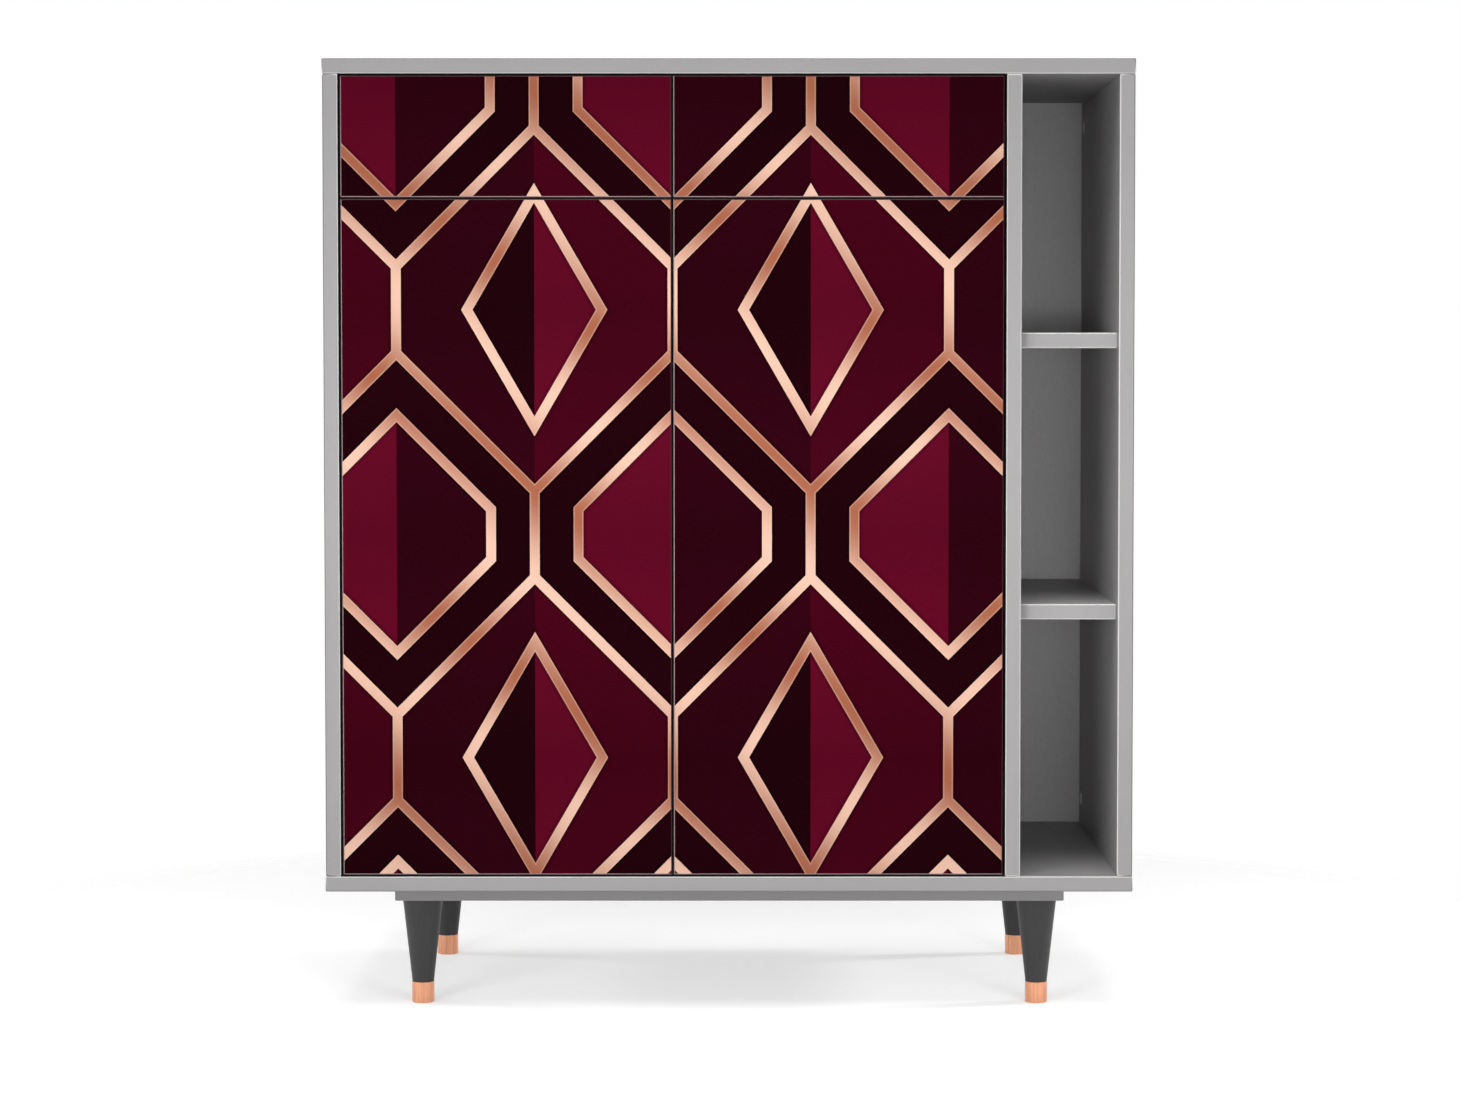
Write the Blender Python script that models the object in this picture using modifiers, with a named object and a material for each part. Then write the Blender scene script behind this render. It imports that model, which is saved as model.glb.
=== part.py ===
"""Sideboard on four tapered legs: two drawers over two doors, and an open column of three niches.

Metres, +Z up, the front looks along -Y. The origin lies on the floor under the middle of the top.
The carcass is of boards that meet with thin seams. The fronts stand inside the carcass, a glass facing
on a wooden leaf, and open when pressed: the doors turn on pins in concealed cups, the drawers run on
steel channels.
"""

import math

import bmesh
import bpy
from mathutils import Vector

# Overall size
WIDTH = 0.940
DEPTH = 0.480
HEIGHT = 1.110

# Carcass boards
BOARD = 0.018
SIDE_INSET = 0.0005
SEAM = 0.0003
NICHE_WIDTH = 0.1125
NICHE_COUNT = 3
SHELF_SETBACK = 0.020

# Back panel and its groove
BACK_THICKNESS = 0.003
BACK_INSET = 0.010
BACK_GROOVE = 0.006
GROOVE_PLAY = 0.001

# Base board and legs
BASE_THICKNESS = 0.018
BASE_FROM_END = 0.076
BASE_FROM_FRONT = 0.045
LEG_HEIGHT = 0.125
LEG_TOP_RADIUS = 0.0238
LEG_FOOT_RADIUS = 0.0128
LEG_FROM_END = 0.030
LEG_FROM_FRONT = 0.031
FERRULE_RADIUS = 0.01325
FERRULE_HEIGHT = 0.025
FERRULE_WALL = 0.0008
FERRULE_FLOOR = 0.002

# Fronts
FRONT_RECESS = 0.001
FRONT_GAP = 0.002
HINGE_GAP = 0.0025
LEAF = 0.016
GLASS = 0.004
GLASS_BEVEL = 0.0012
DRAWER_FRONT_HEIGHT = 0.140
PRESS_TRAVEL = 0.0017

# Hinges: a pin across a cup in the leaf, and a swan-neck arm on the carcass
DOOR_SWING = math.radians(95)
SWING_CLEARANCE = 0.0005
ARM_CLEARANCE = 0.001
HINGE_FROM_END = 0.100
PIN_DEPTH_SHARE = 0.5625
PIN_RADIUS = 0.00125
PIN_CLEARANCE = 0.0003
EYE_WALL = 0.00125
EYE_HEIGHT = 0.014
CUP_RADIUS = 0.0175
CUP_WALL = 0.001
CUP_FLOOR_CLEARANCE = 0.0004
CUP_FLANGE_RADIUS = 0.020
CUP_FLANGE = 0.0015
ARM_STRIP = 0.0025
ARM_HEIGHT = 0.012
ARM_BEND_STEPS = 12
PLATE_THICKNESS = 0.003
PLATE_LENGTH = 0.045
PLATE_HEIGHT = 0.032

# Drawer boxes and their runners
DRAWER_SIDE = 0.012
DRAWER_SIDE_HEIGHT = 0.100
DRAWER_FLOOR_CLEARANCE = 0.014
DRAWER_BACK_CLEARANCE = 0.045
DRAWER_BOTTOM = 0.004
DRAWER_BOTTOM_RISE = 0.010
DRAWER_GROOVE = 0.005
RUNNER_SPACE = 0.0127
RUNNER_HEIGHT = 0.035
RUNNER_MOUTH = 0.022
RUNNER_WALL = 0.0012
RUNNER_PLAY = 0.0006
RUNNER_SETBACK = 0.003
CHANNEL_SHARE = 0.75

# Push latches
LATCH_SIDE = 0.014
LATCH_LENGTH = 0.060
LATCH_TIP_RADIUS = 0.004
LATCH_TIP_LENGTH = 0.003
LATCH_TIP_CLEARANCE = 0.0009
LATCH_ROD_RADIUS = 0.003
LATCH_ROD_LENGTH = 0.030
LATCH_BORE_LENGTH = 0.040

# Cam fittings in the wall of the niches
CAM_RADIUS = 0.0068
CAM_DEPTH = 0.0125
CAM_COVER_RADIUS = 0.0075
CAM_COVER = 0.0008
CAM_FROM_BACK = 0.031
CAM_FROM_END = 0.034

# How finely round pieces are cut, how far cutters overrun, and the weld of doubled points
ROUND_STEPS = 32
SMALL_STEPS = 16
OVERRUN = 0.005
WELD = 0.00001

# Levels and planes that several pieces share
FRONT_Y = -DEPTH / 2
REAR_Y = DEPTH / 2
BOTTOM_Z = LEG_HEIGHT + BASE_THICKNESS
FLOOR_Z = BOTTOM_Z + BOARD
CEILING_Z = HEIGHT - BOARD
WALL_X = WIDTH / 2 - SIDE_INSET - BOARD
BACK_Y = REAR_Y - BACK_INSET - BACK_THICKNESS
DIVIDER_RIGHT_X = WALL_X - NICHE_WIDTH
DIVIDER_LEFT_X = DIVIDER_RIGHT_X - BOARD
BAY_MIDDLE_X = (DIVIDER_LEFT_X - WALL_X) / 2
GLASS_FRONT_Y = FRONT_Y + FRONT_RECESS
GLASS_REAR_Y = GLASS_FRONT_Y + GLASS
LEAF_FRONT_Y = GLASS_REAR_Y + SEAM
LEAF_REAR_Y = LEAF_FRONT_Y + LEAF
DOOR_BOTTOM_Z = FLOOR_Z + FRONT_GAP
DRAWER_TOP_Z = CEILING_Z - FRONT_GAP
DRAWER_FRONT_Z = DRAWER_TOP_Z - DRAWER_FRONT_HEIGHT
DOOR_TOP_Z = DRAWER_FRONT_Z - FRONT_GAP
DECK_MIDDLE_Z = (DOOR_TOP_Z + DRAWER_FRONT_Z) / 2
DECK_BOTTOM_Z = DECK_MIDDLE_Z - BOARD / 2
DECK_TOP_Z = DECK_MIDDLE_Z + BOARD / 2
PARTITION_FRONT_Y = LEAF_REAR_Y + PRESS_TRAVEL

# The pin stands as far from the leaf's edge as the front corner needs to swing clear of the side
PIN_FROM_REAR = LEAF * PIN_DEPTH_SHARE
PIN_Y = LEAF_REAR_Y - PIN_FROM_REAR
CORNER_REACH = PIN_Y - GLASS_FRONT_Y - GLASS_BEVEL
SWING_ROOM = HINGE_GAP - SWING_CLEARANCE
PIN_FROM_EDGE = (CORNER_REACH**2 - SWING_ROOM**2) / (2 * SWING_ROOM)
SWING_RADIUS = PIN_FROM_EDGE + SWING_ROOM
INNER_FRONT_Y = PIN_Y + SWING_RADIUS + ARM_CLEARANCE

# Linear colour, roughness and metallic value of each finish
FINISHES = {
    "grey_board": ((0.45, 0.44, 0.44), 0.45, 0.0),
    "drawer_board": ((0.56, 0.55, 0.54), 0.5, 0.0),
    "printed_glass": ((0.075, 0.004, 0.016), 0.08, 0.0),
    "leaf_board": ((0.035, 0.03, 0.03), 0.5, 0.0),
    "leg_lacquer": ((0.07, 0.068, 0.069), 0.35, 0.0),
    "copper": ((0.79, 0.38, 0.24), 0.25, 1.0),
    "nickelled_steel": ((0.62, 0.61, 0.6), 0.3, 1.0),
    "zinc_steel": ((0.5, 0.51, 0.52), 0.4, 1.0),
    "latch_plastic": ((0.3, 0.3, 0.3), 0.5, 0.0),
}


def clear_scene():
    """Removes whatever the scene holds."""
    for obj in list(bpy.data.objects):
        bpy.data.objects.remove(obj, do_unlink=True)


def new_collection(name):
    """A collection of its own under the scene."""
    made = bpy.data.collections.new(name)
    bpy.context.scene.collection.children.link(made)
    return made


clear_scene()
PARTS = new_collection("sideboard")
CUTTERS = new_collection("sideboard_cutters")


def material_for(name, finish):
    """The piece's own material, with the colour, roughness and metallic value of its finish."""
    colour, roughness, metallic = FINISHES[finish]
    made = bpy.data.materials.new(name)
    made.use_nodes = True
    shader = made.node_tree.nodes["Principled BSDF"]
    shader.inputs["Base Color"].default_value = (*colour, 1.0)
    shader.inputs["Roughness"].default_value = roughness
    shader.inputs["Metallic"].default_value = metallic
    return made


def body_axis(name, place):
    """An empty on a joint's axis, which carries the pieces that move on it."""
    made = bpy.data.objects.new(name, None)
    made.location = place
    PARTS.objects.link(made)
    return made


def add_piece(name, finish, mesh, place, body=None):
    """A piece of the object at its place in the world, under the empty of its body if it moves."""
    mesh.name = name
    mesh.materials.append(material_for(name, finish))
    made = bpy.data.objects.new(name, mesh)
    made.parent = body
    made.location = Vector(place) - (body.location if body else Vector())
    PARTS.objects.link(made)
    return made


def add_cutter(name, mesh, place):
    """A shape that cuts pieces or is joined to one, which isn't a piece itself."""
    made = bpy.data.objects.new(name, mesh)
    made.location = place
    made.hide_render = True
    made.display_type = "WIRE"
    CUTTERS.objects.link(made)
    return made


def combine(piece, other, operation="DIFFERENCE"):
    """Cuts the other shape from the piece, or joins it on."""
    step = piece.modifiers.new(f"{operation.lower()}_{other.name}", "BOOLEAN")
    step.operation = operation
    step.solver = "EXACT"
    step.object = other


def mesh_from(shape, name):
    """A mesh of a finished bmesh."""
    made = bpy.data.meshes.new(name)
    shape.to_mesh(made)
    shape.free()
    return made


def box_mesh(low, high, bevel=None):
    """A box between two corners as a mesh about its own middle, and that middle.

    With a bevel, the four edges round its front face are taken off by that much.
    """
    low, high = Vector(low), Vector(high)
    shape = bmesh.new()
    bmesh.ops.create_cube(shape, size=1.0)
    if bevel:
        front = [e for e in shape.edges if all(v.co.y < 0 for v in e.verts)]
    bmesh.ops.scale(shape, vec=high - low, verts=shape.verts)
    if bevel:
        bmesh.ops.bevel(shape, geom=front, offset=bevel, segments=1, affect="EDGES")
    return mesh_from(shape, "box"), (low + high) / 2


def add_box(name, finish, low, high, body=None, bevel=None):
    """A board or block between two corners of the world."""
    mesh, middle = box_mesh(low, high, bevel)
    return add_piece(name, finish, mesh, middle, body)


def add_box_cutter(name, low, high):
    """A box-shaped cutter between two corners of the world."""
    mesh, middle = box_mesh(low, high)
    return add_cutter(name, mesh, middle)


def rod_mesh(radius, length, steps):
    """A round rod along Z about its middle."""
    shape = bmesh.new()
    bmesh.ops.create_cone(
        shape, cap_ends=True, segments=steps, radius1=radius, radius2=radius, depth=length
    )
    return mesh_from(shape, "rod")


def add_turned(name, finish, profile, place, body=None, turn=(0, 0, 0), steps=ROUND_STEPS):
    """A turned piece: a profile of radius and height, from the axis round to the axis, swept about Z."""
    mesh = bpy.data.meshes.new(name)
    points = [(radius, 0, height) for radius, height in profile]
    mesh.from_pydata(points, [(i, i + 1) for i in range(len(points) - 1)], [])
    made = add_piece(name, finish, mesh, place, body)
    made.rotation_euler = turn
    sweep = made.modifiers.new("turned", "SCREW")
    sweep.steps = sweep.render_steps = steps
    sweep.use_merge_vertices = True
    sweep.merge_threshold = WELD
    sweep.use_smooth_shade = True
    return made


def outline_mesh(outline, thickness):
    """A flat outline in X and Y as a closed plate about Z, of the given thickness."""
    curve = bpy.data.curves.new("outline", "CURVE")
    curve.dimensions = "2D"
    curve.fill_mode = "BOTH"
    curve.extrude = thickness / 2
    spline = curve.splines.new("POLY")
    spline.points.add(len(outline) - 1)
    for point, (x, y) in zip(spline.points, outline):
        point.co = (x, y, 0, 1)
    spline.use_cyclic_u = True
    drawn = bpy.data.objects.new("outline", curve)
    CUTTERS.objects.link(drawn)
    graph = bpy.context.evaluated_depsgraph_get()
    mesh = bpy.data.meshes.new_from_object(drawn.evaluated_get(graph))
    bpy.data.objects.remove(drawn)
    shape = bmesh.new()
    shape.from_mesh(mesh)
    bmesh.ops.remove_doubles(shape, verts=shape.verts, dist=WELD)
    bmesh.ops.recalc_face_normals(shape, faces=shape.faces)
    shape.to_mesh(mesh)
    shape.free()
    return mesh


def strip_outline(path, width):
    """Both edges of a strip that follows a path of points, mitred at each bend, as one outline."""
    left, right = [], []
    for i, point in enumerate(path):
        ahead = path[i + 1] - point if i + 1 < len(path) else point - path[i - 1]
        behind = point - path[i - 1] if i else ahead
        normals = [Vector((-d.y, d.x)).normalized() for d in (behind, ahead)]
        mitre = (normals[0] + normals[1]).normalized()
        reach = mitre * (width / 2 / mitre.dot(normals[0]))
        left.append(point + reach)
        right.append(point - reach)
    return left + right[::-1]


def add_carcass():
    """The boards of the carcass and the thin back panel in its groove."""
    side_low, side_high = FLOOR_Z + SEAM, CEILING_Z - SEAM
    inner_rear = BACK_Y - SEAM
    half = WIDTH / 2
    outer = WALL_X + BOARD
    top_low, top_high = (-half, FRONT_Y, CEILING_Z), (half, REAR_Y, HEIGHT)
    top = add_box("top_panel", "grey_board", top_low, top_high)
    bottom_low, bottom_high = (-half, FRONT_Y, BOTTOM_Z), (half, REAR_Y, FLOOR_Z)
    bottom = add_box("bottom_panel", "grey_board", bottom_low, bottom_high)
    left = add_box(
        "left_side_panel", "grey_board", (-outer, FRONT_Y, side_low), (-WALL_X, REAR_Y, side_high)
    )
    right = add_box(
        "right_side_panel", "grey_board", (WALL_X, FRONT_Y, side_low), (outer, REAR_Y, side_high)
    )
    add_box(
        "niche_divider",
        "grey_board",
        (DIVIDER_LEFT_X, FRONT_Y, side_low),
        (DIVIDER_RIGHT_X, inner_rear, side_high),
    )
    add_box(
        "centre_partition",
        "grey_board",
        (BAY_MIDDLE_X - BOARD / 2, PARTITION_FRONT_Y, side_low),
        (BAY_MIDDLE_X + BOARD / 2, inner_rear, side_high),
    )
    add_back_panel([top, bottom, left, right])
    return right


def add_back_panel(boards):
    """The back panel, held all round in a groove of the four outer boards."""
    reach = BACK_GROOVE - GROOVE_PLAY
    add_box(
        "back_panel",
        "grey_board",
        (-WALL_X - reach, BACK_Y, FLOOR_Z - reach),
        (WALL_X + reach, BACK_Y + BACK_THICKNESS, CEILING_Z + reach),
    )
    groove = add_box_cutter(
        "back_groove",
        (-WALL_X - BACK_GROOVE, BACK_Y - SEAM, FLOOR_Z - BACK_GROOVE),
        (WALL_X + BACK_GROOVE, BACK_Y + BACK_THICKNESS + SEAM, CEILING_Z + BACK_GROOVE),
    )
    for board in boards:
        combine(board, groove)


def add_niche_shelves():
    """The fixed shelves that part the column into equal niches."""
    shelves = NICHE_COUNT - 1
    clear = (CEILING_Z - FLOOR_Z - shelves * BOARD) / NICHE_COUNT
    names = ("niche_lower_shelf", "niche_upper_shelf")
    for i in range(shelves):
        low_z = FLOOR_Z + (i + 1) * clear + i * BOARD
        name = names[i] if i < len(names) else f"niche_shelf_{i + 1}"
        add_box(
            name,
            "grey_board",
            (DIVIDER_RIGHT_X + SEAM, FRONT_Y + SHELF_SETBACK, low_z),
            (WALL_X - SEAM, BACK_Y - SEAM, low_z + BOARD),
        )


def add_cams(panel):
    """The two cam fittings in the niche wall, each in its bore, with a thin round cover."""
    bore = rod_mesh(CAM_RADIUS + SEAM, CAM_DEPTH + SEAM + OVERRUN, ROUND_STEPS)
    profile = [
        (0, SEAM + CAM_COVER),
        (CAM_COVER_RADIUS, SEAM + CAM_COVER),
        (CAM_COVER_RADIUS, SEAM),
        (CAM_RADIUS, SEAM),
        (CAM_RADIUS, -CAM_DEPTH),
        (0, -CAM_DEPTH),
    ]
    towards_niche = (0, -math.pi / 2, 0)
    levels = {"lower": FLOOR_Z + CAM_FROM_END, "upper": CEILING_Z - CAM_FROM_END}
    for level, z in levels.items():
        y = BACK_Y - CAM_FROM_BACK
        middle_x = WALL_X + (CAM_DEPTH + SEAM - OVERRUN) / 2
        cutter = add_cutter(f"cam_bore_{level}", bore, (middle_x, y, z))
        cutter.rotation_euler = towards_niche
        combine(panel, cutter)
        place = (WALL_X, y, z)
        name = f"right_side_{level}_cam"
        add_turned(name, "latch_plastic", profile, place, turn=towards_niche)


def add_base():
    """The base board under the carcass, and the four tapered legs with their ferrules."""
    half_x = WIDTH / 2 - BASE_FROM_END
    half_y = DEPTH / 2 - BASE_FROM_FRONT
    add_box(
        "base_board",
        "grey_board",
        (-half_x, -half_y, LEG_HEIGHT),
        (half_x, half_y, BOTTOM_Z - SEAM),
    )
    leg_x, leg_y = half_x - LEG_FROM_END, half_y - LEG_FROM_FRONT
    spigot = FERRULE_RADIUS - FERRULE_WALL - SEAM
    leg = [
        (0, LEG_HEIGHT - SEAM),
        (LEG_TOP_RADIUS, LEG_HEIGHT - SEAM),
        (LEG_FOOT_RADIUS, FERRULE_HEIGHT + SEAM),
        (spigot, FERRULE_HEIGHT + SEAM),
        (spigot, FERRULE_FLOOR + SEAM),
        (0, FERRULE_FLOOR + SEAM),
    ]
    ferrule = [
        (0, FERRULE_FLOOR),
        (FERRULE_RADIUS - FERRULE_WALL, FERRULE_FLOOR),
        (FERRULE_RADIUS - FERRULE_WALL, FERRULE_HEIGHT),
        (FERRULE_RADIUS, FERRULE_HEIGHT),
        (FERRULE_RADIUS, 0),
        (0, 0),
    ]
    for row, y in (("front", -leg_y), ("rear", leg_y)):
        for side, x in (("left", -leg_x), ("right", leg_x)):
            add_turned(f"{row}_{side}_leg", "leg_lacquer", leg, (x, y, 0))
            add_turned(f"{row}_{side}_ferrule", "copper", ferrule, (x, y, 0))


def leaf_span(side):
    """Left and right edges of one side's fronts, -1 for the left bay and 1 for the right."""
    if side < 0:
        return -WALL_X + HINGE_GAP, BAY_MIDDLE_X - FRONT_GAP / 2
    return BAY_MIDDLE_X + FRONT_GAP / 2, DIVIDER_LEFT_X - HINGE_GAP


def bay_span(side):
    """Left and right faces of one side's bay, between its outer board and the partition."""
    if side < 0:
        return -WALL_X, BAY_MIDDLE_X - BOARD / 2
    return BAY_MIDDLE_X + BOARD / 2, DIVIDER_LEFT_X


def add_front(name, side, low_z, high_z, body):
    """The leaf of a door or drawer with its glass facing, whose front edges are bevelled."""
    left, right = leaf_span(side)
    leaf_low, leaf_high = (left, LEAF_FRONT_Y, low_z), (right, LEAF_REAR_Y, high_z)
    leaf = add_box(f"{name}_leaf", "leaf_board", leaf_low, leaf_high, body)
    glass_low, glass_high = (left, GLASS_FRONT_Y, low_z), (right, GLASS_REAR_Y, high_z)
    add_box(f"{name}_glass", "printed_glass", glass_low, glass_high, body, GLASS_BEVEL)
    return leaf


def add_hinge(name, side, pin, leaf, body):
    """One hinge: the cup with its pin in the leaf, and the arm that holds the pin from the carcass.

    The arm leaves the pin in the middle of the angle that the cup's mouth leaves free over the whole
    swing, goes round outside the circle that the leaf's edge sweeps, and ends in a plate on the side.
    """
    eye = PIN_RADIUS + PIN_CLEARANCE + EYE_WALL
    bore = CUP_RADIUS - CUP_WALL
    floor = -PIN_FROM_REAR - eye - CUP_FLOOR_CLEARANCE
    end = floor - CUP_WALL
    cup = [
        (0, floor),
        (bore, floor),
        (bore, SEAM + CUP_FLANGE),
        (CUP_FLANGE_RADIUS, SEAM + CUP_FLANGE),
        (CUP_FLANGE_RADIUS, SEAM),
        (CUP_RADIUS, SEAM),
        (CUP_RADIUS, end),
        (0, end),
    ]
    mouth = (pin.x, LEAF_REAR_Y, pin.z)
    to_rear = (-math.pi / 2, 0, 0)
    made = add_turned(f"{name}_hinge_cup", "nickelled_steel", cup, mouth, body, to_rear)
    rod = rod_mesh(PIN_RADIUS, 2 * bore + CUP_WALL, SMALL_STEPS)
    combine(made, add_cutter(f"{name}_pin", rod, pin), "UNION")
    hole_length = OVERRUN - end + SEAM
    hole = rod_mesh(CUP_RADIUS + SEAM, hole_length, ROUND_STEPS)
    middle_y = LEAF_REAR_Y + OVERRUN - hole_length / 2
    cutter = add_cutter(f"{name}_cup_bore", hole, (pin.x, middle_y, pin.z))
    cutter.rotation_euler = to_rear
    combine(leaf, cutter)
    add_arm(name, side, pin, eye)


def add_arm(name, side, pin, eye):
    """The swan-neck arm of a hinge, from its eye on the pin to its plate on the side."""
    inward = -side
    face = -PIN_FROM_EDGE - HINGE_GAP
    plate_low, plate_high = face + SEAM, face + SEAM + PLATE_THICKNESS
    bend = SWING_RADIUS + ARM_CLEARANCE + ARM_STRIP / 2
    plate_u = (plate_low + plate_high) / 2
    start, stop = (math.pi - DOOR_SWING) / 2, math.acos(plate_u / bend)
    angles = [start + (stop - start) * i / ARM_BEND_STEPS for i in range(ARM_BEND_STEPS + 1)]
    path = [(0, 0)] + [(bend * math.cos(a), bend * math.sin(a)) for a in angles]
    plate_v = bend * math.sin(stop) + ARM_STRIP
    path.append((plate_u, plate_v + PLATE_LENGTH / 2))
    path = [Vector((inward * u, v)) for u, v in path]
    strip = outline_mesh(strip_outline(path, ARM_STRIP), ARM_HEIGHT)
    arm = add_piece(f"{name}_hinge_arm", "nickelled_steel", strip, pin)
    ends = sorted(pin.x + inward * u for u in (plate_low, plate_high))
    plate = add_box_cutter(
        f"{name}_plate",
        (ends[0], pin.y + plate_v, pin.z - PLATE_HEIGHT / 2),
        (ends[1], pin.y + plate_v + PLATE_LENGTH, pin.z + PLATE_HEIGHT / 2),
    )
    combine(arm, plate, "UNION")
    knuckle = rod_mesh(eye, EYE_HEIGHT, SMALL_STEPS)
    combine(arm, add_cutter(f"{name}_eye", knuckle, pin), "UNION")
    hole = rod_mesh(PIN_RADIUS + PIN_CLEARANCE, EYE_HEIGHT + 2 * OVERRUN, SMALL_STEPS)
    combine(arm, add_cutter(f"{name}_eye_hole", hole, pin))


def add_door(word, side):
    """One door on its two hinges."""
    left, right = leaf_span(side)
    pin_x = left + PIN_FROM_EDGE if side < 0 else right - PIN_FROM_EDGE
    body = body_axis(f"{word}_door_axis", (pin_x, PIN_Y, DOOR_BOTTOM_Z))
    leaf = add_front(f"{word}_door", side, DOOR_BOTTOM_Z, DOOR_TOP_Z, body)
    levels = {"lower": DOOR_BOTTOM_Z + HINGE_FROM_END, "upper": DOOR_TOP_Z - HINGE_FROM_END}
    for level, z in levels.items():
        add_hinge(f"{word}_door_{level}", side, Vector((pin_x, PIN_Y, z)), leaf, body)


def add_latch(word, side):
    """The push latch beside the partition, under the deck: its housing, and the plunger in it."""
    tip_front = LEAF_REAR_Y + SEAM
    housing_front = tip_front + LATCH_TIP_LENGTH + LATCH_TIP_CLEARANCE
    face = BAY_MIDDLE_X + side * BOARD / 2
    ends = sorted((face + side * SEAM, face + side * (SEAM + LATCH_SIDE)))
    top = DECK_BOTTOM_Z - SEAM
    housing = add_box(
        f"{word}_latch_housing",
        "latch_plastic",
        (ends[0], housing_front, top - LATCH_SIDE),
        (ends[1], housing_front + LATCH_LENGTH, top),
    )
    place = Vector(((ends[0] + ends[1]) / 2, tip_front, top - LATCH_SIDE / 2))
    bore = rod_mesh(LATCH_ROD_RADIUS + SEAM, LATCH_BORE_LENGTH + OVERRUN, SMALL_STEPS)
    middle = (place.x, housing_front + (LATCH_BORE_LENGTH - OVERRUN) / 2, place.z)
    cutter = add_cutter(f"{word}_latch_bore", bore, middle)
    to_rear = (-math.pi / 2, 0, 0)
    cutter.rotation_euler = to_rear
    combine(housing, cutter)
    rod_end = LATCH_TIP_LENGTH + LATCH_TIP_CLEARANCE + LATCH_ROD_LENGTH
    plunger = [
        (0, rod_end),
        (LATCH_ROD_RADIUS, rod_end),
        (LATCH_ROD_RADIUS, LATCH_TIP_LENGTH),
        (LATCH_TIP_RADIUS, LATCH_TIP_LENGTH),
        (LATCH_TIP_RADIUS, 0),
        (0, 0),
    ]
    body = body_axis(f"{word}_latch_axis", place)
    name = f"{word}_latch_plunger"
    add_turned(name, "latch_plastic", plunger, place, body, to_rear, SMALL_STEPS)


def add_inner_boards(word, side):
    """The deck under a drawer and the shelf of a cupboard, clear of the swing of the door's edge."""
    left, right = bay_span(side)
    shelf_middle = (FLOOR_Z + DECK_BOTTOM_Z) / 2
    for name, middle in (("drawer_deck", DECK_MIDDLE_Z), ("cupboard_shelf", shelf_middle)):
        add_box(
            f"{word}_{name}",
            "grey_board",
            (left + SEAM, INNER_FRONT_Y, middle - BOARD / 2),
            (right - SEAM, BACK_Y - SEAM, middle + BOARD / 2),
        )


def add_runner(drawer, word, face, inward, middle_z, rear_y, body):
    """One runner: the fixed channel on a bay's face, and the bar in it that the drawer's side rides on."""
    half, mouth = RUNNER_HEIGHT / 2, RUNNER_MOUTH / 2
    wall, play = RUNNER_WALL, RUNNER_PLAY
    web, lip = SEAM, SEAM + RUNNER_SPACE * CHANNEL_SHARE
    channel = [
        (web, -half),
        (lip, -half),
        (lip, -mouth),
        (lip - wall, -mouth),
        (lip - wall, wall - half),
        (web + wall, wall - half),
        (web + wall, half - wall),
        (lip - wall, half - wall),
        (lip - wall, mouth),
        (lip, mouth),
        (lip, half),
        (web, half),
    ]
    head, stem = half - wall - play, mouth - play
    head_rear, head_front = web + wall + play, lip - wall - play
    end = RUNNER_SPACE - SEAM
    bar = [
        (head_rear, -head),
        (head_front, -head),
        (head_front, -stem),
        (end, -stem),
        (end, stem),
        (head_front, stem),
        (head_front, head),
        (head_rear, head),
    ]
    front_y = LEAF_REAR_Y + RUNNER_SETBACK
    length = rear_y - RUNNER_SETBACK - front_y
    place = (face, front_y + length / 2, middle_z)
    pieces = (("runner_channel", channel, None), ("runner_bar", bar, body))
    for name, outline, carrier in pieces:
        outline = [(inward * u, v) for u, v in outline]
        mesh = outline_mesh(outline, length)
        title = f"{drawer}_{word}_{name}"
        made = add_piece(title, "zinc_steel", mesh, place, carrier)
        made.rotation_euler = (math.pi / 2, 0, 0)


def add_drawer(word, side):
    """One drawer: its front, its box of two sides, back and bottom, and a runner on each side."""
    drawer = f"{word}_drawer"
    bay_left, bay_right = bay_span(side)
    left, right = bay_left + RUNNER_SPACE, bay_right - RUNNER_SPACE
    low_z = DECK_TOP_Z + DRAWER_FLOOR_CLEARANCE
    high_z = low_z + DRAWER_SIDE_HEIGHT
    middle_z = (low_z + high_z) / 2
    front_y, rear_y = LEAF_REAR_Y + SEAM, BACK_Y - DRAWER_BACK_CLEARANCE
    body = body_axis(f"{drawer}_slide", ((left + right) / 2, LEAF_REAR_Y, middle_z))
    add_front(drawer, side, DRAWER_FRONT_Z, DRAWER_TOP_Z, body)
    boards = []
    for name, start in (("left", left), ("right", right - DRAWER_SIDE)):
        low, high = (start, front_y, low_z), (start + DRAWER_SIDE, rear_y, high_z)
        boards.append(add_box(f"{drawer}_{name}_side", "drawer_board", low, high, body))
    inner_left, inner_right = left + DRAWER_SIDE, right - DRAWER_SIDE
    inner_rear = rear_y - DRAWER_SIDE
    low, high = (inner_left + SEAM, inner_rear, low_z), (inner_right - SEAM, rear_y, high_z)
    boards.append(add_box(f"{drawer}_back", "drawer_board", low, high, body))
    bottom_z = low_z + DRAWER_BOTTOM_RISE
    reach = DRAWER_GROOVE - SEAM
    low = (inner_left - reach, front_y, bottom_z)
    high = (inner_right + reach, inner_rear + reach, bottom_z + DRAWER_BOTTOM)
    add_box(f"{drawer}_bottom", "drawer_board", low, high, body)
    reach = DRAWER_GROOVE
    low = (inner_left - reach, front_y - OVERRUN, bottom_z - SEAM)
    high = (inner_right + reach, inner_rear + reach, bottom_z + DRAWER_BOTTOM + SEAM)
    groove = add_box_cutter(f"{drawer}_groove", low, high)
    for board in boards:
        combine(board, groove)
    add_runner(drawer, "left", bay_left, 1, middle_z, rear_y, body)
    add_runner(drawer, "right", bay_right, -1, middle_z, rear_y, body)


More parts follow.
